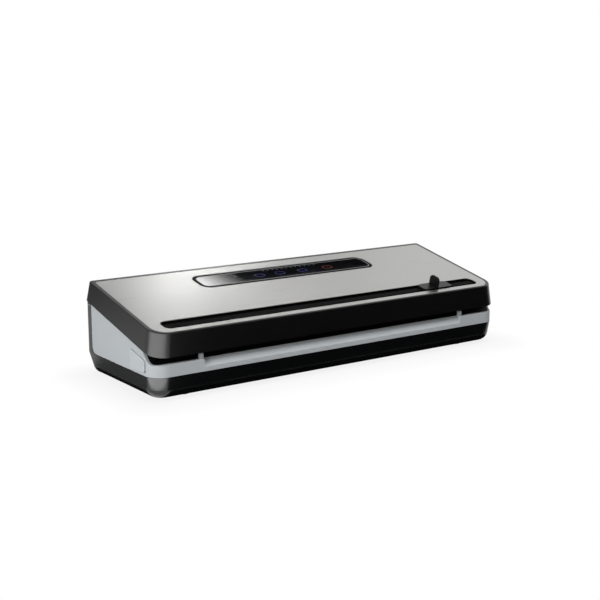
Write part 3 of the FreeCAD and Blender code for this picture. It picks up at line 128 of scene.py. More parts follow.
class SealerStudioSettings(bpy.types.PropertyGroup):
    """Camera and light."""

    camera_place: bpy.props.FloatVectorProperty(
        name="Camera place", description="Where the camera stands",
        default=(-0.65589, -0.91776, 0.28670), subtype="TRANSLATION")
    camera_azimuth: bpy.props.FloatProperty(
        name="Azimuth", description="Viewing direction round the part, in degrees",
        default=-35.40)
    camera_elevation: bpy.props.FloatProperty(
        name="Elevation", description="Viewing height over the horizon, in degrees",
        default=11.50)
    camera_lens: bpy.props.FloatProperty(
        name="Lens", description="Focal length on a 36 mm wide sensor, in millimetres",
        default=70.64, unit="CAMERA")
    ambient: bpy.props.FloatProperty(
        name="Ambient", description="Even light from all round",
        default=0.10)
    key_radiance: bpy.props.FloatProperty(
        name="Key", description="Brightness of the soft light at the front left",
        default=15.0)
    top_radiance: bpy.props.FloatProperty(
        name="Top", description="Brightness of the soft light overhead",
        default=6.8)
    strip_radiance: bpy.props.FloatProperty(
        name="Strip", default=7.2,
        description="Brightness of the strip on the floor that draws the front corner")
    # The floor's painted shadow: its share of plain white close to the part, and its reach.
    floor_fill: bpy.props.FloatProperty(
        name="Floor white", description="Share of plain white in the floor close to the part",
        default=0.86, min=0.0, max=1.0, subtype="FACTOR")
    painted_shadow_reach: bpy.props.FloatProperty(
        name="Shadow reach", description="Distance from the part at which the floor is plain white",
        default=0.05, unit="LENGTH")


FINISH, PANEL, STUDIO = "sealer_finish", "sealer_panel", "sealer_studio"

# Lengths are in metres, angles in degrees and colours linear.
WHITE = (1.0, 1.0, 1.0)
NO_STRETCH = (1.0, 1.0, 1.0)

# The return springs: where their fixed ends stand from the middle.
SPRING_FOOT = 0.1668


# Shader maths

class Value:
    """A shader value: an expression on it adds the Math nodes that work it out."""

    def __init__(self, finish, socket):
        self.finish = finish
        self.socket = socket

    def _math(self, operation, first, second):
        node = self.finish.node("ShaderNodeMath", {"operation": operation}, {0: first, 1: second})
        return Value(self.finish, node.outputs[0])

    def __add__(self, other):
        return self._math("ADD", self, other)

    def __radd__(self, other):
        return self._math("ADD", other, self)

    def __sub__(self, other):
        return self._math("SUBTRACT", self, other)

    def __rsub__(self, other):
        return self._math("SUBTRACT", other, self)

    def __mul__(self, other):
        return self._math("MULTIPLY", self, other)

    def __rmul__(self, other):
        return self._math("MULTIPLY", other, self)

    def size(self):
        """The value without its sign."""
        return self._math("ABSOLUTE", self, 0.0)

    def clipped(self, low, high):
        """The value held between two limits."""
        return self._math("MINIMUM", self._math("MAXIMUM", self, low), high)

    def swing(self, amount):
        """A change to both sides of nought, from a value about one half."""
        return (self - 0.5) * amount


class Finish:
    """The nodes of one procedural material or world."""

    def __init__(self, owner):
        owner.use_nodes = True
        self.owner = owner
        self.tree = owner.node_tree
        self.tree.nodes.clear()

    def node(self, kind, settings=None, inputs=None):
        """A node of one type: its settings first, then the values or links of its sockets."""
        node = self.tree.nodes.new(kind)
        for key, setting in (settings or {}).items():
            setattr(node, key, setting)
        for key, value in (inputs or {}).items():
            self.feed(node.inputs[key], value)
        return node

    def feed(self, socket, value):
        """Links a socket or sets its value."""
        if isinstance(value, Value):
            value = value.socket
        if isinstance(value, bpy.types.NodeSocket):
            self.tree.links.new(value, socket)
        elif socket.type == "RGBA":
            socket.default_value = (*value, 1.0)
        else:
            socket.default_value = value

    def place(self, stretch=NO_STRETCH):
        """Object coordinates in metres, times a number for each axis."""
        coordinates = self.node("ShaderNodeTexCoord").outputs["Object"]
        mapping = self.node("ShaderNodeMapping", inputs={"Vector": coordinates, "Scale": stretch})
        return mapping.outputs["Vector"]

    def noise(self, scale, detail=2.0, stretch=NO_STRETCH):
        """Smooth noise between 0 and 1, with so many waves in a metre."""
        node = self.node("ShaderNodeTexNoise", inputs={
            "Vector": self.place(stretch), "Scale": scale, "Detail": detail, "Roughness": 0.55})
        return Value(self, node.outputs["Fac"])

    def bands(self, axis, scale, distortion):
        """Soft bands across one axis, between 0 and 1."""
        node = self.node("ShaderNodeTexWave", {"wave_type": "BANDS", "bands_direction": axis}, {
            "Vector": self.place(), "Scale": scale, "Distortion": distortion})
        return Value(self, node.outputs["Fac"])

    def tones(self, share, colour, dark, light):
        """A colour between a darker and a lighter tone of itself."""
        node = self.node("ShaderNodeMix", {"data_type": "RGBA"}, {
            "Factor": share, "A": shade(colour, dark), "B": shade(colour, light)})
        return node.outputs["Result"]

    def bump(self, height, distance, strength):
        """A surface normal from a height between 0 and 1."""
        node = self.node("ShaderNodeBump", inputs={
            "Height": height, "Distance": distance, "Strength": strength})
        return node.outputs["Normal"]

    def show(self, shader, output="ShaderNodeOutputMaterial"):
        """Sends a shader to the output."""
        self.node(output, inputs={"Surface": shader.outputs[0]})

    def principled(self, **inputs):
        """The material with a Principled surface: a name is a socket's, underscores for spaces."""
        named = {key.replace("_", " "): value for key, value in inputs.items()}
        self.show(self.node("ShaderNodeBsdfPrincipled", inputs=named))
        return self.owner


def new_finish(name):
    """The nodes of a new material."""
    return Finish(bpy.data.materials.new(name))


def shade(colour, factor):
    """A colour made lighter or darker."""
    return tuple(min(1.0, channel * factor) for channel in colour)


# Finishes

def moulded_plastic(name, colour, roughness, specular):
    """Moulded plastic: fine spark-eroded grain, slow changes of tone and of gloss."""
    finish = new_finish(name)
    fine = finish.noise(scale=2600.0, detail=3.0)
    slow = finish.noise(scale=14.0)
    gloss = slow.swing(0.10) + fine.swing(0.08) + roughness
    return finish.principled(
        Base_Color=finish.tones(slow * 0.6 + fine * 0.4, colour, dark=0.93, light=1.07),
        Roughness=gloss.clipped(0.05, 1.0), Specular_IOR_Level=specular,
        Normal=finish.bump(fine, distance=0.00003, strength=0.35))


def brushed_metal(name, colour, roughness):
    """Steel brushed along X: long fine scratches that change tone, gloss and height."""
    finish = new_finish(name)
    fine = finish.noise(scale=60.0, detail=4.0, stretch=(0.25, 70.0, 70.0))
    broad = finish.noise(scale=9.0, stretch=(0.4, 9.0, 9.0))
    gloss = fine.swing(0.16) + broad.swing(0.06) + roughness
    return finish.principled(
        Base_Color=finish.tones(fine * 0.6 + broad * 0.4, colour, dark=0.90, light=1.08),
        Metallic=1.0, Roughness=gloss.clipped(0.08, 1.0),
        Normal=finish.bump(fine, distance=0.00002, strength=0.30))


def plain_metal(name, colour, roughness):
    """Turned or plated metal with small marks."""
    finish = new_finish(name)
    fine = finish.noise(scale=1800.0, detail=3.0)
    gloss = fine.swing(0.20) + roughness
    return finish.principled(
        Base_Color=finish.tones(fine, colour, dark=0.85, light=1.08),
        Metallic=1.0, Roughness=gloss.clipped(0.08, 1.0),
        Normal=finish.bump(fine, distance=0.00002, strength=0.25))


def soft_rubber(name, colour, roughness=0.75, pores=1500.0):
    """Rubber or foam with a dull, slightly porous surface."""
    finish = new_finish(name)
    fine = finish.noise(scale=pores, detail=4.0)
    slow = finish.noise(scale=40.0)
    gloss = fine.swing(0.15) + roughness
    return finish.principled(
        Base_Color=finish.tones(fine * 0.5 + slow * 0.5, colour, dark=0.75, light=1.2),
        Roughness=gloss.clipped(0.2, 1.0), Specular_IOR_Level=0.25,
        Normal=finish.bump(fine, distance=0.00006, strength=0.5))


def woven_tape(name, colour):
    """Coated glass cloth: a fine plain weave under a satin film."""
    finish = new_finish(name)
    warp, weft = (finish.bands(axis, scale=600.0, distortion=0.4) for axis in "XY")
    weave = warp * 0.5 + weft * 0.5
    return finish.principled(
        Base_Color=finish.tones(weave, colour, dark=0.85, light=1.1),
        Roughness=weave * 0.15 + 0.35, Specular_IOR_Level=0.4,
        Normal=finish.bump(weave, distance=0.00004, strength=0.5))


def panel_glass(name, colour):
    """Dark back-printed glass: a polished face with faint smears."""
    finish = new_finish(name)
    smear = finish.noise(scale=45.0, detail=3.0, stretch=(1.0, 2.2, 1.0))
    dust = finish.noise(scale=3500.0)
    return finish.principled(
        Base_Color=finish.tones(smear, colour, dark=0.9, light=1.15),
        Roughness=smear * 0.02 + dust * 0.01 + 0.02, Specular_IOR_Level=0.5,
        Coat_Weight=smear * 0.05)


def circuit_board(name, colour):
    """Lacquered board with faint copper tracks under the lacquer."""
    finish = new_finish(name)
    bricks = finish.node("ShaderNodeTexBrick", inputs={
        "Vector": finish.place((300.0, 300.0, 300.0)), "Scale": 1.0, "Mortar Size": 0.08})
    tracks = Value(finish, bricks.outputs["Fac"])
    return finish.principled(
        Base_Color=finish.tones(tracks, colour, dark=1.0, light=1.7),
        Roughness=tracks * 0.1 + 0.35, Specular_IOR_Level=0.5,
        Normal=finish.bump(tracks, distance=0.00003, strength=0.4))


def wound_core(name, colour):
    """Stacked laminations and varnished winding: fine bands across the stack."""
    finish = new_finish(name)
    layers = finish.bands("Y", scale=320.0, distortion=0.2)
    return finish.principled(
        Base_Color=finish.tones(layers, colour, dark=0.7, light=1.25),
        Roughness=layers * 0.2 + 0.35, Specular_IOR_Level=0.4,
        Normal=finish.bump(layers, distance=0.00006, strength=0.5))


def lit_mark(name, colour, glow):
    """A printed or lit mark: uneven ink with a weak glow."""
    finish = new_finish(name)
    ink = finish.noise(scale=4000.0)
    tone = finish.tones(ink, colour, dark=0.8, light=1.1)
    return finish.principled(
        Base_Color=tone, Roughness=ink * 0.2 + 0.3, Emission_Color=tone, Emission_Strength=glow)


def dress(material, *nodes):
    """Puts a finish on all slots of these nodes."""
    for name in nodes:
        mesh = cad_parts[name].data
        mesh.materials.clear()
        mesh.materials.append(material)


# Surfaces

def node_points(name):
    """A node's vertices as rows of an array."""
    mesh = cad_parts[name].data
    points = np.empty(3 * len(mesh.vertices))
    mesh.vertices.foreach_get("co", points)
    return points.reshape(-1, 3)


def steel_plane():
    """A point at the front of the steel plate's top, the unit vector up its slope and its normal.

    The normal is the mean of the upward faces' normals, weighed by their areas.
    """
    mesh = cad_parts["steel_plate"].data
    normals = np.empty(3 * len(mesh.polygons))
    areas = np.empty(len(mesh.polygons))
    mesh.polygons.foreach_get("normal", normals)
    mesh.polygons.foreach_get("area", areas)
    normals = normals.reshape(-1, 3)
    upward = normals[:, 2] > 0.9
    normal = (normals[upward] * areas[upward, None]).sum(axis=0)
    normal /= np.linalg.norm(normal)
    slope = np.array([0.0, normal[2], -normal[1]])
    points = node_points("steel_plate")
    return normal * (points @ normal).max() + slope * (points @ slope).min(), slope, normal


def on_steel(x, along, lift):
    """Points at x, a distance up the slope from the plate's front edge and a height over it."""
    origin, slope, normal = steel_plane()
    x, along, lift = np.broadcast_arrays(x, along, lift)
    points = origin + along[..., None] * slope + lift[..., None] * normal
    points[..., 0] = x
    return points


def panel_middle():
    """The control panel's middle up the steel's slope, and its glass's height over the steel."""
    origin, slope, normal = steel_plane()
    points = node_points("panel_glass") - origin
    along = points @ slope
    return (along.min() + along.max()) / 2, (points @ normal).max()


def ring_grid(steps, sides):
    """Shares across a ring from 0 to 1, and angles once round it, to spread over many rings."""
    share = np.linspace(0.0, 1.0, steps)[None, :, None]
    angle = np.linspace(0.0, 2.0 * math.pi, sides, endpoint=False)[None, None, :]
    return share, angle


def ring_faces(count, steps, sides):
    """Quads of so many grids of points, each of steps by sides, closed round the sides."""
    ring, row, column = np.meshgrid(
        np.arange(count), np.arange(steps - 1), np.arange(sides), indexing="ij")
    near = (ring * steps + row) * sides
    far = near + sides
    after = (column + 1) % sides
    quads = np.stack([near + column, near + after, far + after, far + column], axis=-1)
    return quads.reshape(-1, 4)


def domes(places, row, radius, base, height, steps=4, sides=20):
    """Low round domes in a row, from the rim to the top.

    At a share s of the way in, the distance from the middle is the radius times one minus s, and
    the height falls short of the full height by the square of one minus s.
    """
    share, angle = ring_grid(steps, sides)
    out = 1.0 - share
    x = places[:, None, None] + radius * out * np.cos(angle)
    along = row + radius * out * np.sin(angle)
    lift = base + height * (1.0 - out ** 2)
    return on_steel(x, along, lift), ring_faces(len(places), steps, sides)


def outlines(places, row, length, width, line, base, height, steps=5, sides=64):
    """Raised outlines of rounded keys in a row.

    The sides follow the fourth-power oval, whose reach goes with the square root of the cosine
    and the sine, and across the line the height follows half a sine wave.
    """
    share, angle = ring_grid(steps, sides)
    across = np.sign(np.cos(angle)) * np.sqrt(np.abs(np.cos(angle)))
    up = np.sign(np.sin(angle)) * np.sqrt(np.abs(np.sin(angle)))
    x = places[:, None, None] + (length / 2 - line * share) * across
    along = row + (width / 2 - line * share) * up
    lift = base + height * np.sin(math.pi * share)
    return on_steel(x, along, lift), ring_faces(len(places), steps, sides)


def add_object(name, data):
    """An object in the scene with this data."""
    thing = bpy.data.objects.new(name, data)
    bpy.context.scene.collection.objects.link(thing)
    return thing


def mesh_piece(name, points, faces, material, body):
    """A piece from arrays of points and faces, carried by a body."""
    mesh = bpy.data.meshes.new(name)
    mesh.from_pydata(points.reshape(-1, 3).tolist(), [], faces.tolist())
    mesh.update()
    mesh.shade_smooth()
    mesh.materials.append(material)
    piece = add_object(name, mesh)
    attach(piece, body)


# Operators that finish the pieces

class SEALER_OT_casing(bpy.types.Operator):
    """Finishes the tray, the grey casing, the deck, the buttons, the feet and the mains inlet"""
    bl_idname = "sealer.casing"
    bl_label = "Casing"

    def execute(self, context):
        colours = getattr(context.scene, FINISH)
        dress(moulded_plastic("tray_black", colours.tray_black, roughness=0.25, specular=0.40),
              "base_tray")
        dress(moulded_plastic("casing_grey", colours.case_grey, roughness=0.55, specular=0.05),
              "grey_casing", "bag_guides")
        dress(moulded_plastic("deck_black", colours.deck_black, roughness=0.55, specular=0.10),
              "chamber_deck")
        button_grey = shade(colours.case_grey, 1.08)
        dress(moulded_plastic("button_grey", button_grey, roughness=0.52, specular=0.06),
              "left_release_button", "right_release_button")
        dress(soft_rubber("foot_rubber", (0.020, 0.020, 0.022)), "rubber_feet")
        inlet_black = (0.012, 0.012, 0.013)
        dress(moulded_plastic("inlet_black", inlet_black, roughness=0.45, specular=0.35),
              "mains_inlet")
        dress(plain_metal("inlet_contact", (0.62, 0.50, 0.26), roughness=0.25), "inlet_pins")
        return {"FINISHED"}


class SEALER_OT_lid(bpy.types.Operator):
    """Finishes the lid, its steel plate, the panel and the hinge pins"""
    bl_idname = "sealer.lid"
    bl_label = "Lid"

    def execute(self, context):
        colours = getattr(context.scene, FINISH)
        dress(moulded_plastic("lid_black", colours.lid_black, roughness=0.30, specular=0.40),
              "lid_shell")
        dress(brushed_metal("brushed_steel", colours.steel, roughness=0.31), "steel_plate")
        bezel_black = (0.002, 0.002, 0.002)
        dress(moulded_plastic("bezel_black", bezel_black, roughness=0.50, specular=0.03),
              "panel_bezel")
        dress(brushed_metal("trim_steel", (0.18, 0.18, 0.177), roughness=0.34), "panel_trim")
        dress(panel_glass("panel_glass", colours.panel_black), "panel_glass")
        dress(plain_metal("pin_steel", (0.55, 0.55, 0.56), roughness=0.30), "hinge_pins")
        return {"FINISHED"}


class SEALER_OT_cutter(bpy.types.Operator):
    """Finishes the rail, the slider, the blade and its holder"""
    bl_idname = "sealer.cutter"
    bl_label = "Cutter"

    def execute(self, context):
        colours = getattr(context.scene, FINISH)
        rail_black = (0.002, 0.002, 0.002)
        dress(moulded_plastic("rail_black", rail_black, roughness=0.60, specular=0.02),
              "cutter_rail")
        slider_black = shade(colours.lid_black, 1.2)
        dress(moulded_plastic("slider_black", slider_black, roughness=0.36, specular=0.20),
              "cutter_slider")
        holder_black = (0.012, 0.012, 0.012)
        dress(moulded_plastic("holder_black", holder_black, roughness=0.50, specular=0.35),
              "blade_holder")
        dress(brushed_metal("blade_steel", (0.66, 0.66, 0.67), roughness=0.22), "cutter_blade")
        return {"FINISHED"}


class SEALER_OT_sealing(bpy.types.Operator):
    """Finishes the gaskets, the pressure strip, the seal bar, its heating strip and its tape"""
    bl_idname = "sealer.sealing"
    bl_label = "Sealing pieces"

    def execute(self, context):
        dress(soft_rubber("gasket_foam", (0.018, 0.018, 0.020), roughness=0.85, pores=900.0),
              "upper_gasket", "lower_gasket")
        dress(soft_rubber("pressure_silicone", (0.42, 0.10, 0.07), roughness=0.55),
              "pressure_strip")
        bar_brown = (0.11, 0.055, 0.030)
        dress(moulded_plastic("seal_bar_brown", bar_brown, roughness=0.50, specular=0.40),
              "seal_bar")
        dress(plain_metal("heating_wire", (0.55, 0.52, 0.48), roughness=0.35), "heating_strip")
        dress(woven_tape("release_tape", (0.34, 0.25, 0.15)), "release_tape")
        return {"FINISHED"}


class SEALER_OT_latches(bpy.types.Operator):
    """Finishes the inner cover, the nozzle, the latches and the springs that the buttons press"""
    bl_idname = "sealer.latches"
    bl_label = "Inner cover and latches"

    def execute(self, context):
        cover_black = (0.014, 0.014, 0.015)
        dress(moulded_plastic("cover_black", cover_black, roughness=0.46, specular=0.38),
              "lid_cover", "latch_hooks")
        latch_black = (0.020, 0.020, 0.020)
        dress(moulded_plastic("latch_black", latch_black, roughness=0.45, specular=0.40),
              "left_latch_slider", "right_latch_slider", "intake_nozzle")
        dress(plain_metal("spring_steel", (0.55, 0.55, 0.55), roughness=0.28),
              "left_return_spring", "right_return_spring")
        for hand, end in (("left", -SPRING_FOOT), ("right", SPRING_FOOT)):
            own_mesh(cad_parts[hand + "_return_spring"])
        return {"FINISHED"}


class SEALER_OT_screws(bpy.types.Operator):
    """Finishes the screws of the lid, of the casing and of the pieces inside"""
    bl_idname = "sealer.screws"
    bl_label = "Screws"

    def execute(self, context):
        dress(plain_metal("screw_steel", (0.50, 0.50, 0.51), roughness=0.32),
              "lid_screws", "base_screws", "display_screws", "board_screws", "bracket_screws",
              "pump_screws")
        return {"FINISHED"}


class SEALER_OT_inside(bpy.types.Operator):
    """Finishes the pump, the motor and the electrics"""
    bl_idname = "sealer.inside"
    bl_label = "Pump and electrics"

    def execute(self, context):
        dress(plain_metal("motor_zinc", (0.52, 0.52, 0.53), roughness=0.35),
              "motor_can", "pump_bracket")
        dress(soft_rubber("magnet_ferrite", (0.05, 0.05, 0.05), roughness=0.6), "motor_magnets")
        dress(wound_core("armature_copper", (0.45, 0.20, 0.09)), "motor_armature")
        dress(wound_core("transformer_core", (0.08, 0.075, 0.07)), "transformer")
        pump_black = (0.025, 0.025, 0.027)
        dress(moulded_plastic("pump_black", pump_black, roughness=0.45, specular=0.40),
              "pump_head", "pump_cover", "crank_wheel")
        dress(soft_rubber("diaphragm_rubber", (0.03, 0.03, 0.03)), "pump_diaphragm")
        dress(soft_rubber("hose_silicone", (0.50, 0.48, 0.44), roughness=0.45), "vacuum_hose")
        dress(circuit_board("board_green", (0.020, 0.115, 0.045)), "power_board", "display_board")
        component_black = (0.030, 0.030, 0.034)
        dress(moulded_plastic("component_black", component_black, roughness=0.40, specular=0.45),
              "board_parts", "lid_switches")
        dress(lit_mark("lamp_lens", (0.80, 0.80, 0.74), glow=0.2), "display_lamps")
        return {"FINISHED"}


class SEALER_OT_panel_marks(bpy.types.Operator):
    """Lays the level dots and the keys on the control panel's glass"""
    bl_idname = "sealer.panel_marks"
    bl_label = "Panel marks"

    def execute(self, context):
        sizes = getattr(context.scene, PANEL)
        colours = getattr(context.scene, FINISH)
        middle, glass = panel_middle()
        places = sizes.dot_first + sizes.dot_pitch * np.arange(sizes.dot_count)
        points, faces = domes(
            places, middle + sizes.dot_row, sizes.dot_radius, glass, sizes.mark_height)
        dot_white = lit_mark("dot_white", colours.dot_white, glow=0.20)
        mesh_piece("panel_level_dots", points, faces, dot_white, "lid")
        keys = (("panel_keys", sizes.key_places, colours.key_blue),
                ("panel_stop_key", (sizes.stop_place,), colours.key_red))
        for name, places, colour in keys:
            points, faces = outlines(
                np.array(places), middle - sizes.key_row, sizes.key_length, sizes.key_width,
                sizes.key_line, glass, sizes.mark_height)
            key_glow = lit_mark(name + "_glow", colour, glow=0.05)
            mesh_piece(name, points, faces, key_glow, "lid")
        return {"FINISHED"}


# Stage: floor, lights, world, camera, and the cards that draw the highlights in reflections

# Width of the camera's sensor, in millimetres.
SENSOR_WIDTH = 36.0
# How far the lamps stand from the place that they are turned to.
LAMP_DISTANCE = 1.4
LAMP_AIM = (0.0, 0.0, 0.04)
# The floor's reach from the part to each side, and its colour where it is not seen, which also
# shows through the painted shadow close to the part.
FLOOR_REACH = 6.0
FLOOR_GREY = (0.45, 0.45, 0.45)
# Half the width and half the depth of the part where it meets the floor, round which the floor's
# shadow is painted.
FOOTPRINT = (0.19, 0.054)

# Outlines on the steel's plane that mirror a card: x, and the distance up the slope from the
# plate's front edge.
PANEL_DARK_PART = ((-0.054, 0.073), (0.120, 0.073), (0.120, 0.126), (-0.068, 0.126))
STEEL_GLOW_PART = ((-0.130, 0.070), (0.020, 0.070), (0.005, 0.165), (-0.140, 0.165))
STEEL_SHADE_PART = ((-0.36, -0.25), (-0.18, -0.25), (-0.13, 0.05), (-0.28, 0.07))
# Distances of those cards behind the plane, and the glow of the panel's dark part.
CARD_DISTANCE = 0.9
GLOW_DISTANCE = 1.2
DARK_GREY = (0.004, 0.004, 0.005)

# The panel's bright part: its left and right ends on the same plane, and its fall to the right.
FADE_LEFT = ((-0.118, 0.066), (-0.118, 0.120))
FADE_RIGHT = ((-0.054, 0.074), (-0.065, 0.113))
FADE_STEPS = 9
FADE_LEAST = 0.3
FADE_GAIN = 9.2
FADE_POWER = 1.6

# The front left corner: its place near the floor, the place where its strip begins and the
# azimuth that both face.
CORNER = (-0.190, -0.054)
STRIP_START = (-0.205, -0.0657)
CORNER_AZIMUTH = -52.0
# Height of a card that lies on the floor.
FLOOR_LIFT = 0.002

# Cards that stand or lie round the part: beside its left side, behind it at the left, in front of
# it and under it. The one under it is painted shade: a dark sheet that stands for the shadow under
# the part in reflections.
SIDE_CORNERS = ((-0.203, -0.060, FLOOR_LIFT), (-0.203, 0.070, FLOOR_LIFT),
                (-0.303, 0.209, FLOOR_LIFT), (-0.303, 0.079, FLOOR_LIFT))
REAR_CORNERS = ((-0.49, 0.40, 0.0), (-0.49, 1.20, 0.0), (-0.49, 1.20, 0.60), (-0.49, 0.40, 0.60))
FLAG_CORNERS = ((-0.186, -0.07, 0.003), (0.90, -0.07, 0.003),
                (1.70, -1.00, 0.50), (0.20, -1.00, 0.50))
PAINTED_SHADE_UNDER_CORNERS = ((-0.203, -0.071, 0.0015), (0.203, -0.071, 0.0015),
                 (0.203, 0.066, 0.0015), (-0.203, 0.066, 0.0015))


def direction(azimuth, elevation=0.0):
    """The unit vector from the part towards an azimuth and an elevation; azimuth 0 is the front."""
    a, e = math.radians(azimuth), math.radians(elevation)
    return np.array([math.sin(a) * math.cos(e), -math.cos(a) * math.cos(e), math.sin(e)])


def sideways(azimuth):
    """The level unit vector to the right of an azimuth, as seen from there."""
    a = math.radians(azimuth)
    return np.array([math.cos(a), math.sin(a), 0.0])


def lamp(name, azimuth, elevation, width, height, radiance):
    """A rectangular soft light of a given brightness, turned to the part, that no gloss shows."""
    way = Vector(direction(azimuth, elevation))
    data = bpy.data.lights.new(name, "AREA")
    data.shape = "RECTANGLE"
    data.size, data.size_y = width, height
    data.energy = radiance * math.pi * width * height
    light = add_object(name, data)
    light.location = Vector(LAMP_AIM) + way * LAMP_DISTANCE
    light.rotation_euler = way.to_track_quat("Z", "Y").to_euler()
    light.visible_camera = False
    light.visible_glossy = False


def card(name, corners, strength, colour=WHITE):
    """A flat card with an even glow, seen only in reflections."""
    mesh = bpy.data.meshes.new(name)
    mesh.from_pydata([tuple(corner) for corner in corners], [], [tuple(range(len(corners)))])
    finish = new_finish(name)
    finish.show(finish.node("ShaderNodeEmission", inputs={"Color": colour, "Strength": strength}))
    mesh.materials.append(finish.owner)
    piece = add_object(name, mesh)
    piece.visible_camera = False
    piece.visible_diffuse = False
    piece.visible_shadow = False


def mirrored(outline, distance):
    """Corners that the steel plane mirrors to the camera.

    Each lies on the line from the mirrored camera through a point of the plane, a distance
    behind that point.
    """
    studio = getattr(bpy.context.scene, STUDIO)
    origin, slope, normal = steel_plane()
    eye = np.array(studio.camera_place)
    eye = eye - 2.0 * ((eye - origin) @ normal) * normal
    x, along = np.array(outline).T
    points = on_steel(x, along, 0.0)
    rays = points - eye
    rays /= np.linalg.norm(rays, axis=1)[:, None]
    return points + rays * distance


def floor_strip(start, azimuth, length, near_width, far_width):
    """Corners of a widening strip just over the floor, from one point outwards at an azimuth."""
    near = np.array([*start, FLOOR_LIFT])
    far = near + direction(azimuth) * length
    side = sideways(azimuth) / 2
    return [near - side * near_width, near + side * near_width,
            far + side * far_width, far - side * far_width]


def standing_strip(start, azimuth, distance, width, height):
    """Corners of an upright strip on the floor that faces a point from an azimuth and distance."""
    foot = np.array([*start, 0.0]) + direction(azimuth) * distance
    side = sideways(azimuth) * width / 2
    rise = np.array([0.0, 0.0, height])
    return [foot - side, foot + side, foot + side + rise, foot - side + rise]


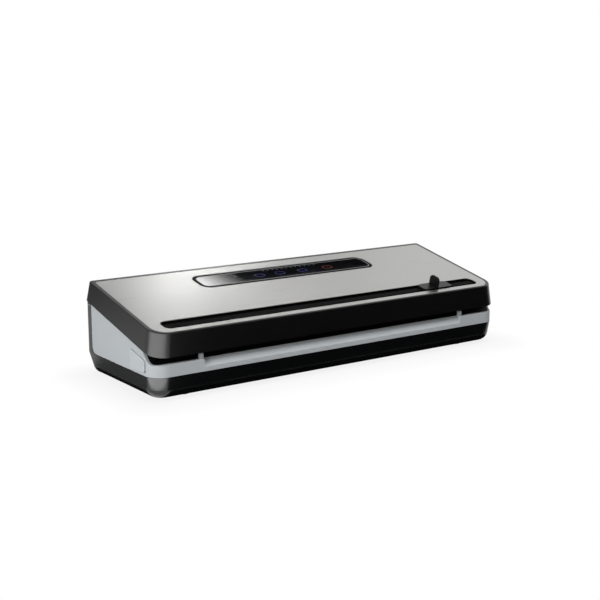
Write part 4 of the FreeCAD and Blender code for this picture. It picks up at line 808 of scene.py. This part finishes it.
class SEALER_OT_stage(bpy.types.Operator):
    """Sets the floor, the world, the lights, the cards and the camera"""
    bl_idname = "sealer.stage"
    bl_label = "Stage"

    def execute(self, context):
        studio = getattr(context.scene, STUDIO)
        self.floor(studio)
        self.world(context.scene, studio)
        lamp("key_light", azimuth=-74.0, elevation=18.0, width=0.35, height=0.70,
             radiance=studio.key_radiance)
        lamp("top_light", azimuth=10.0, elevation=78.0, width=1.2, height=1.0,
             radiance=studio.top_radiance)
        self.panel_cards()
        self.steel_cards()
        self.corner_cards(studio)
        self.round_cards()
        self.camera(context.scene, studio)
        context.scene.view_settings.view_transform = "Standard"
        return {"FINISHED"}

    def panel_cards(self):
        """The glass's dark part, and strips side by side that fade over its bright part.

        A strip's brightness is the least one plus a gain times a power of its share of the way
        back to the left end.
        """
        card("dark_card", mirrored(PANEL_DARK_PART, CARD_DISTANCE), strength=1.0, colour=DARK_GREY)
        left, right = np.array(FADE_LEFT), np.array(FADE_RIGHT)
        for step in range(FADE_STEPS):
            start, end = (left + (right - left) * share / FADE_STEPS for share in (step, step + 1))
            outline = (start[0], end[0], end[1], start[1])
            back = 1.0 - (step + 0.5) / FADE_STEPS
            card(f"fading_card_{step}", mirrored(outline, CARD_DISTANCE),
                 strength=FADE_LEAST + FADE_GAIN * back ** FADE_POWER)

    def steel_cards(self):
        """The steel's bright place and its darker front left."""
        card("glow_card", mirrored(STEEL_GLOW_PART, GLOW_DISTANCE), strength=14.0)
        card("shade_card", mirrored(STEEL_SHADE_PART, CARD_DISTANCE), strength=0.05)

    def corner_cards(self, studio):
        """The highlights of the rounded front left corner: two on the floor and one upright."""
        foot = floor_strip(
            CORNER, CORNER_AZIMUTH, length=0.019, near_width=0.05, far_width=0.11)
        card("corner_foot_card", foot, strength=1.5)
        strip = floor_strip(
            STRIP_START, CORNER_AZIMUTH, length=0.080, near_width=0.11, far_width=0.38)
        card("corner_card", strip, strength=studio.strip_radiance)
        upright = standing_strip(
            CORNER, CORNER_AZIMUTH, distance=0.50, width=1.30, height=0.12)
        card("standing_card", upright, strength=9.0)

    def round_cards(self):
        """Dim cards that keep the white floor and world out of the sides' reflections; the one
        under the part is painted shade for its shadow there.
        """
        card("side_card", SIDE_CORNERS, strength=0.22)
        card("rear_card", REAR_CORNERS, strength=0.04)
        card("front_flag", FLAG_CORNERS, strength=0.02)
        # Painted shade: a dark sheet under the part that stands for its shadow in reflections.
        card("painted_shade_under_card", PAINTED_SHADE_UNDER_CORNERS, strength=0.01)

    def seen(self, finish):
        """One for camera, glossy and transmission rays, else nought."""
        path = finish.node("ShaderNodeLightPath")
        names = ("Is Camera Ray", "Is Glossy Ray", "Is Transmission Ray")
        camera, glossy, through = (Value(finish, path.outputs[name]) for name in names)
        return (camera + glossy + through).clipped(0.0, 1.0)

    def painted_shadow_mask(self, finish, studio):
        """The mask of the floor's painted shadow: one under the part, falling with the square of
        the distance to nought at the reach.
        """
        parts = finish.node("ShaderNodeSeparateXYZ", inputs={"Vector": finish.place()})
        past = [(Value(finish, parts.outputs[axis]).size() - half).clipped(0.0, FLOOR_REACH)
                for axis, half in enumerate(FOOTPRINT)]
        away = past[0] * past[0] + past[1] * past[1]
        return (1.0 - away * (1.0 / studio.painted_shadow_reach ** 2)).clipped(0.0, 1.0)

    def floor(self, studio):
        """A wide pale floor, mostly plain white where it is seen; close to the part a painted
        shadow lets its lit grey cloth, with the part's real shadow on it, show through.
        """
        signs = ((-1.0, -1.0), (1.0, -1.0), (1.0, 1.0), (-1.0, 1.0))
        corners = [(x * FLOOR_REACH, y * FLOOR_REACH, 0.0) for x, y in signs]
        mesh = bpy.data.meshes.new("floor")
        mesh.from_pydata(corners, [], [(0, 1, 2, 3)])
        finish = new_finish("floor_white")
        cloth = finish.node("ShaderNodeBsdfDiffuse", inputs={"Color": FLOOR_GREY})
        white = finish.node("ShaderNodeEmission", inputs={"Color": WHITE, "Strength": 1.0})
        # Painted shadow: near the part the white gives way to the grey cloth, which is darker than
        # white also where no shadow falls.
        shadow = self.painted_shadow_mask(finish, studio) * (1.0 - studio.floor_fill)
        share = self.seen(finish) * (1.0 - shadow)
        finish.show(finish.node("ShaderNodeMixShader", inputs={
            0: share, 1: cloth.outputs[0], 2: white.outputs[0]}))
        mesh.materials.append(finish.owner)
        floor = add_object("floor", mesh)

    def world(self, scene, studio):
        """White where it is seen, and an even weak light elsewhere."""
        scene.world = bpy.data.worlds.new("studio")
        finish = Finish(scene.world)
        strength = self.seen(finish) * (1.0 - studio.ambient) + studio.ambient
        back = finish.node("ShaderNodeBackground", inputs={"Color": WHITE, "Strength": strength})
        finish.show(back, "ShaderNodeOutputWorld")

    def camera(self, scene, studio):
        """The camera at the photograph's place, direction and lens, for a square picture."""
        back = Vector(direction(studio.camera_azimuth, studio.camera_elevation))
        data = bpy.data.cameras.new("camera")
        data.sensor_width = SENSOR_WIDTH
        data.lens = studio.camera_lens
        camera = add_object("camera", data)
        camera.location = studio.camera_place
        camera.rotation_euler = back.to_track_quat("Z", "Y").to_euler()
        scene.camera = camera


class SEALER_PT_panel(bpy.types.Panel):
    """Lists the sealer's settings and steps"""
    bl_idname = "SEALER_PT_panel"
    bl_label = "Vacuum sealer"
    bl_space_type = "VIEW_3D"
    bl_region_type = "UI"
    bl_category = "Sealer"

    def draw(self, context):
        for name, group in GROUPS:
            column = self.layout.column()
            for key in group.__annotations__:
                column.prop(getattr(context.scene, name), key)
        for operator in OPERATORS:
            self.layout.operator(operator.bl_idname)


GROUPS = ((FINISH, SealerFinishSettings), (PANEL, SealerPanelSettings),
          (STUDIO, SealerStudioSettings))
OPERATORS = (SEALER_OT_casing, SEALER_OT_lid, SEALER_OT_cutter, SEALER_OT_sealing,
             SEALER_OT_latches, SEALER_OT_screws, SEALER_OT_inside, SEALER_OT_panel_marks,
             SEALER_OT_stage)


def register():
    """Registers the settings, the steps and the panel."""
    for name, group in GROUPS:
        bpy.utils.register_class(group)
        setattr(bpy.types.Scene, name, bpy.props.PointerProperty(type=group))
    for operator in OPERATORS:
        bpy.utils.register_class(operator)
    bpy.utils.register_class(SEALER_PT_panel)


def unregister():
    """Takes them out again."""
    bpy.utils.unregister_class(SEALER_PT_panel)
    for operator in reversed(OPERATORS):
        bpy.utils.unregister_class(operator)
    for name, group in reversed(GROUPS):
        delattr(bpy.types.Scene, name)
        bpy.utils.unregister_class(group)


def main():
    """Runs the steps in order."""
    register()
    bpy.ops.sealer.casing()
    bpy.ops.sealer.lid()
    bpy.ops.sealer.cutter()
    bpy.ops.sealer.sealing()
    bpy.ops.sealer.latches()
    bpy.ops.sealer.screws()
    bpy.ops.sealer.inside()
    bpy.ops.sealer.panel_marks()
    bpy.ops.sealer.stage()


if __name__ == "__main__":
    main()
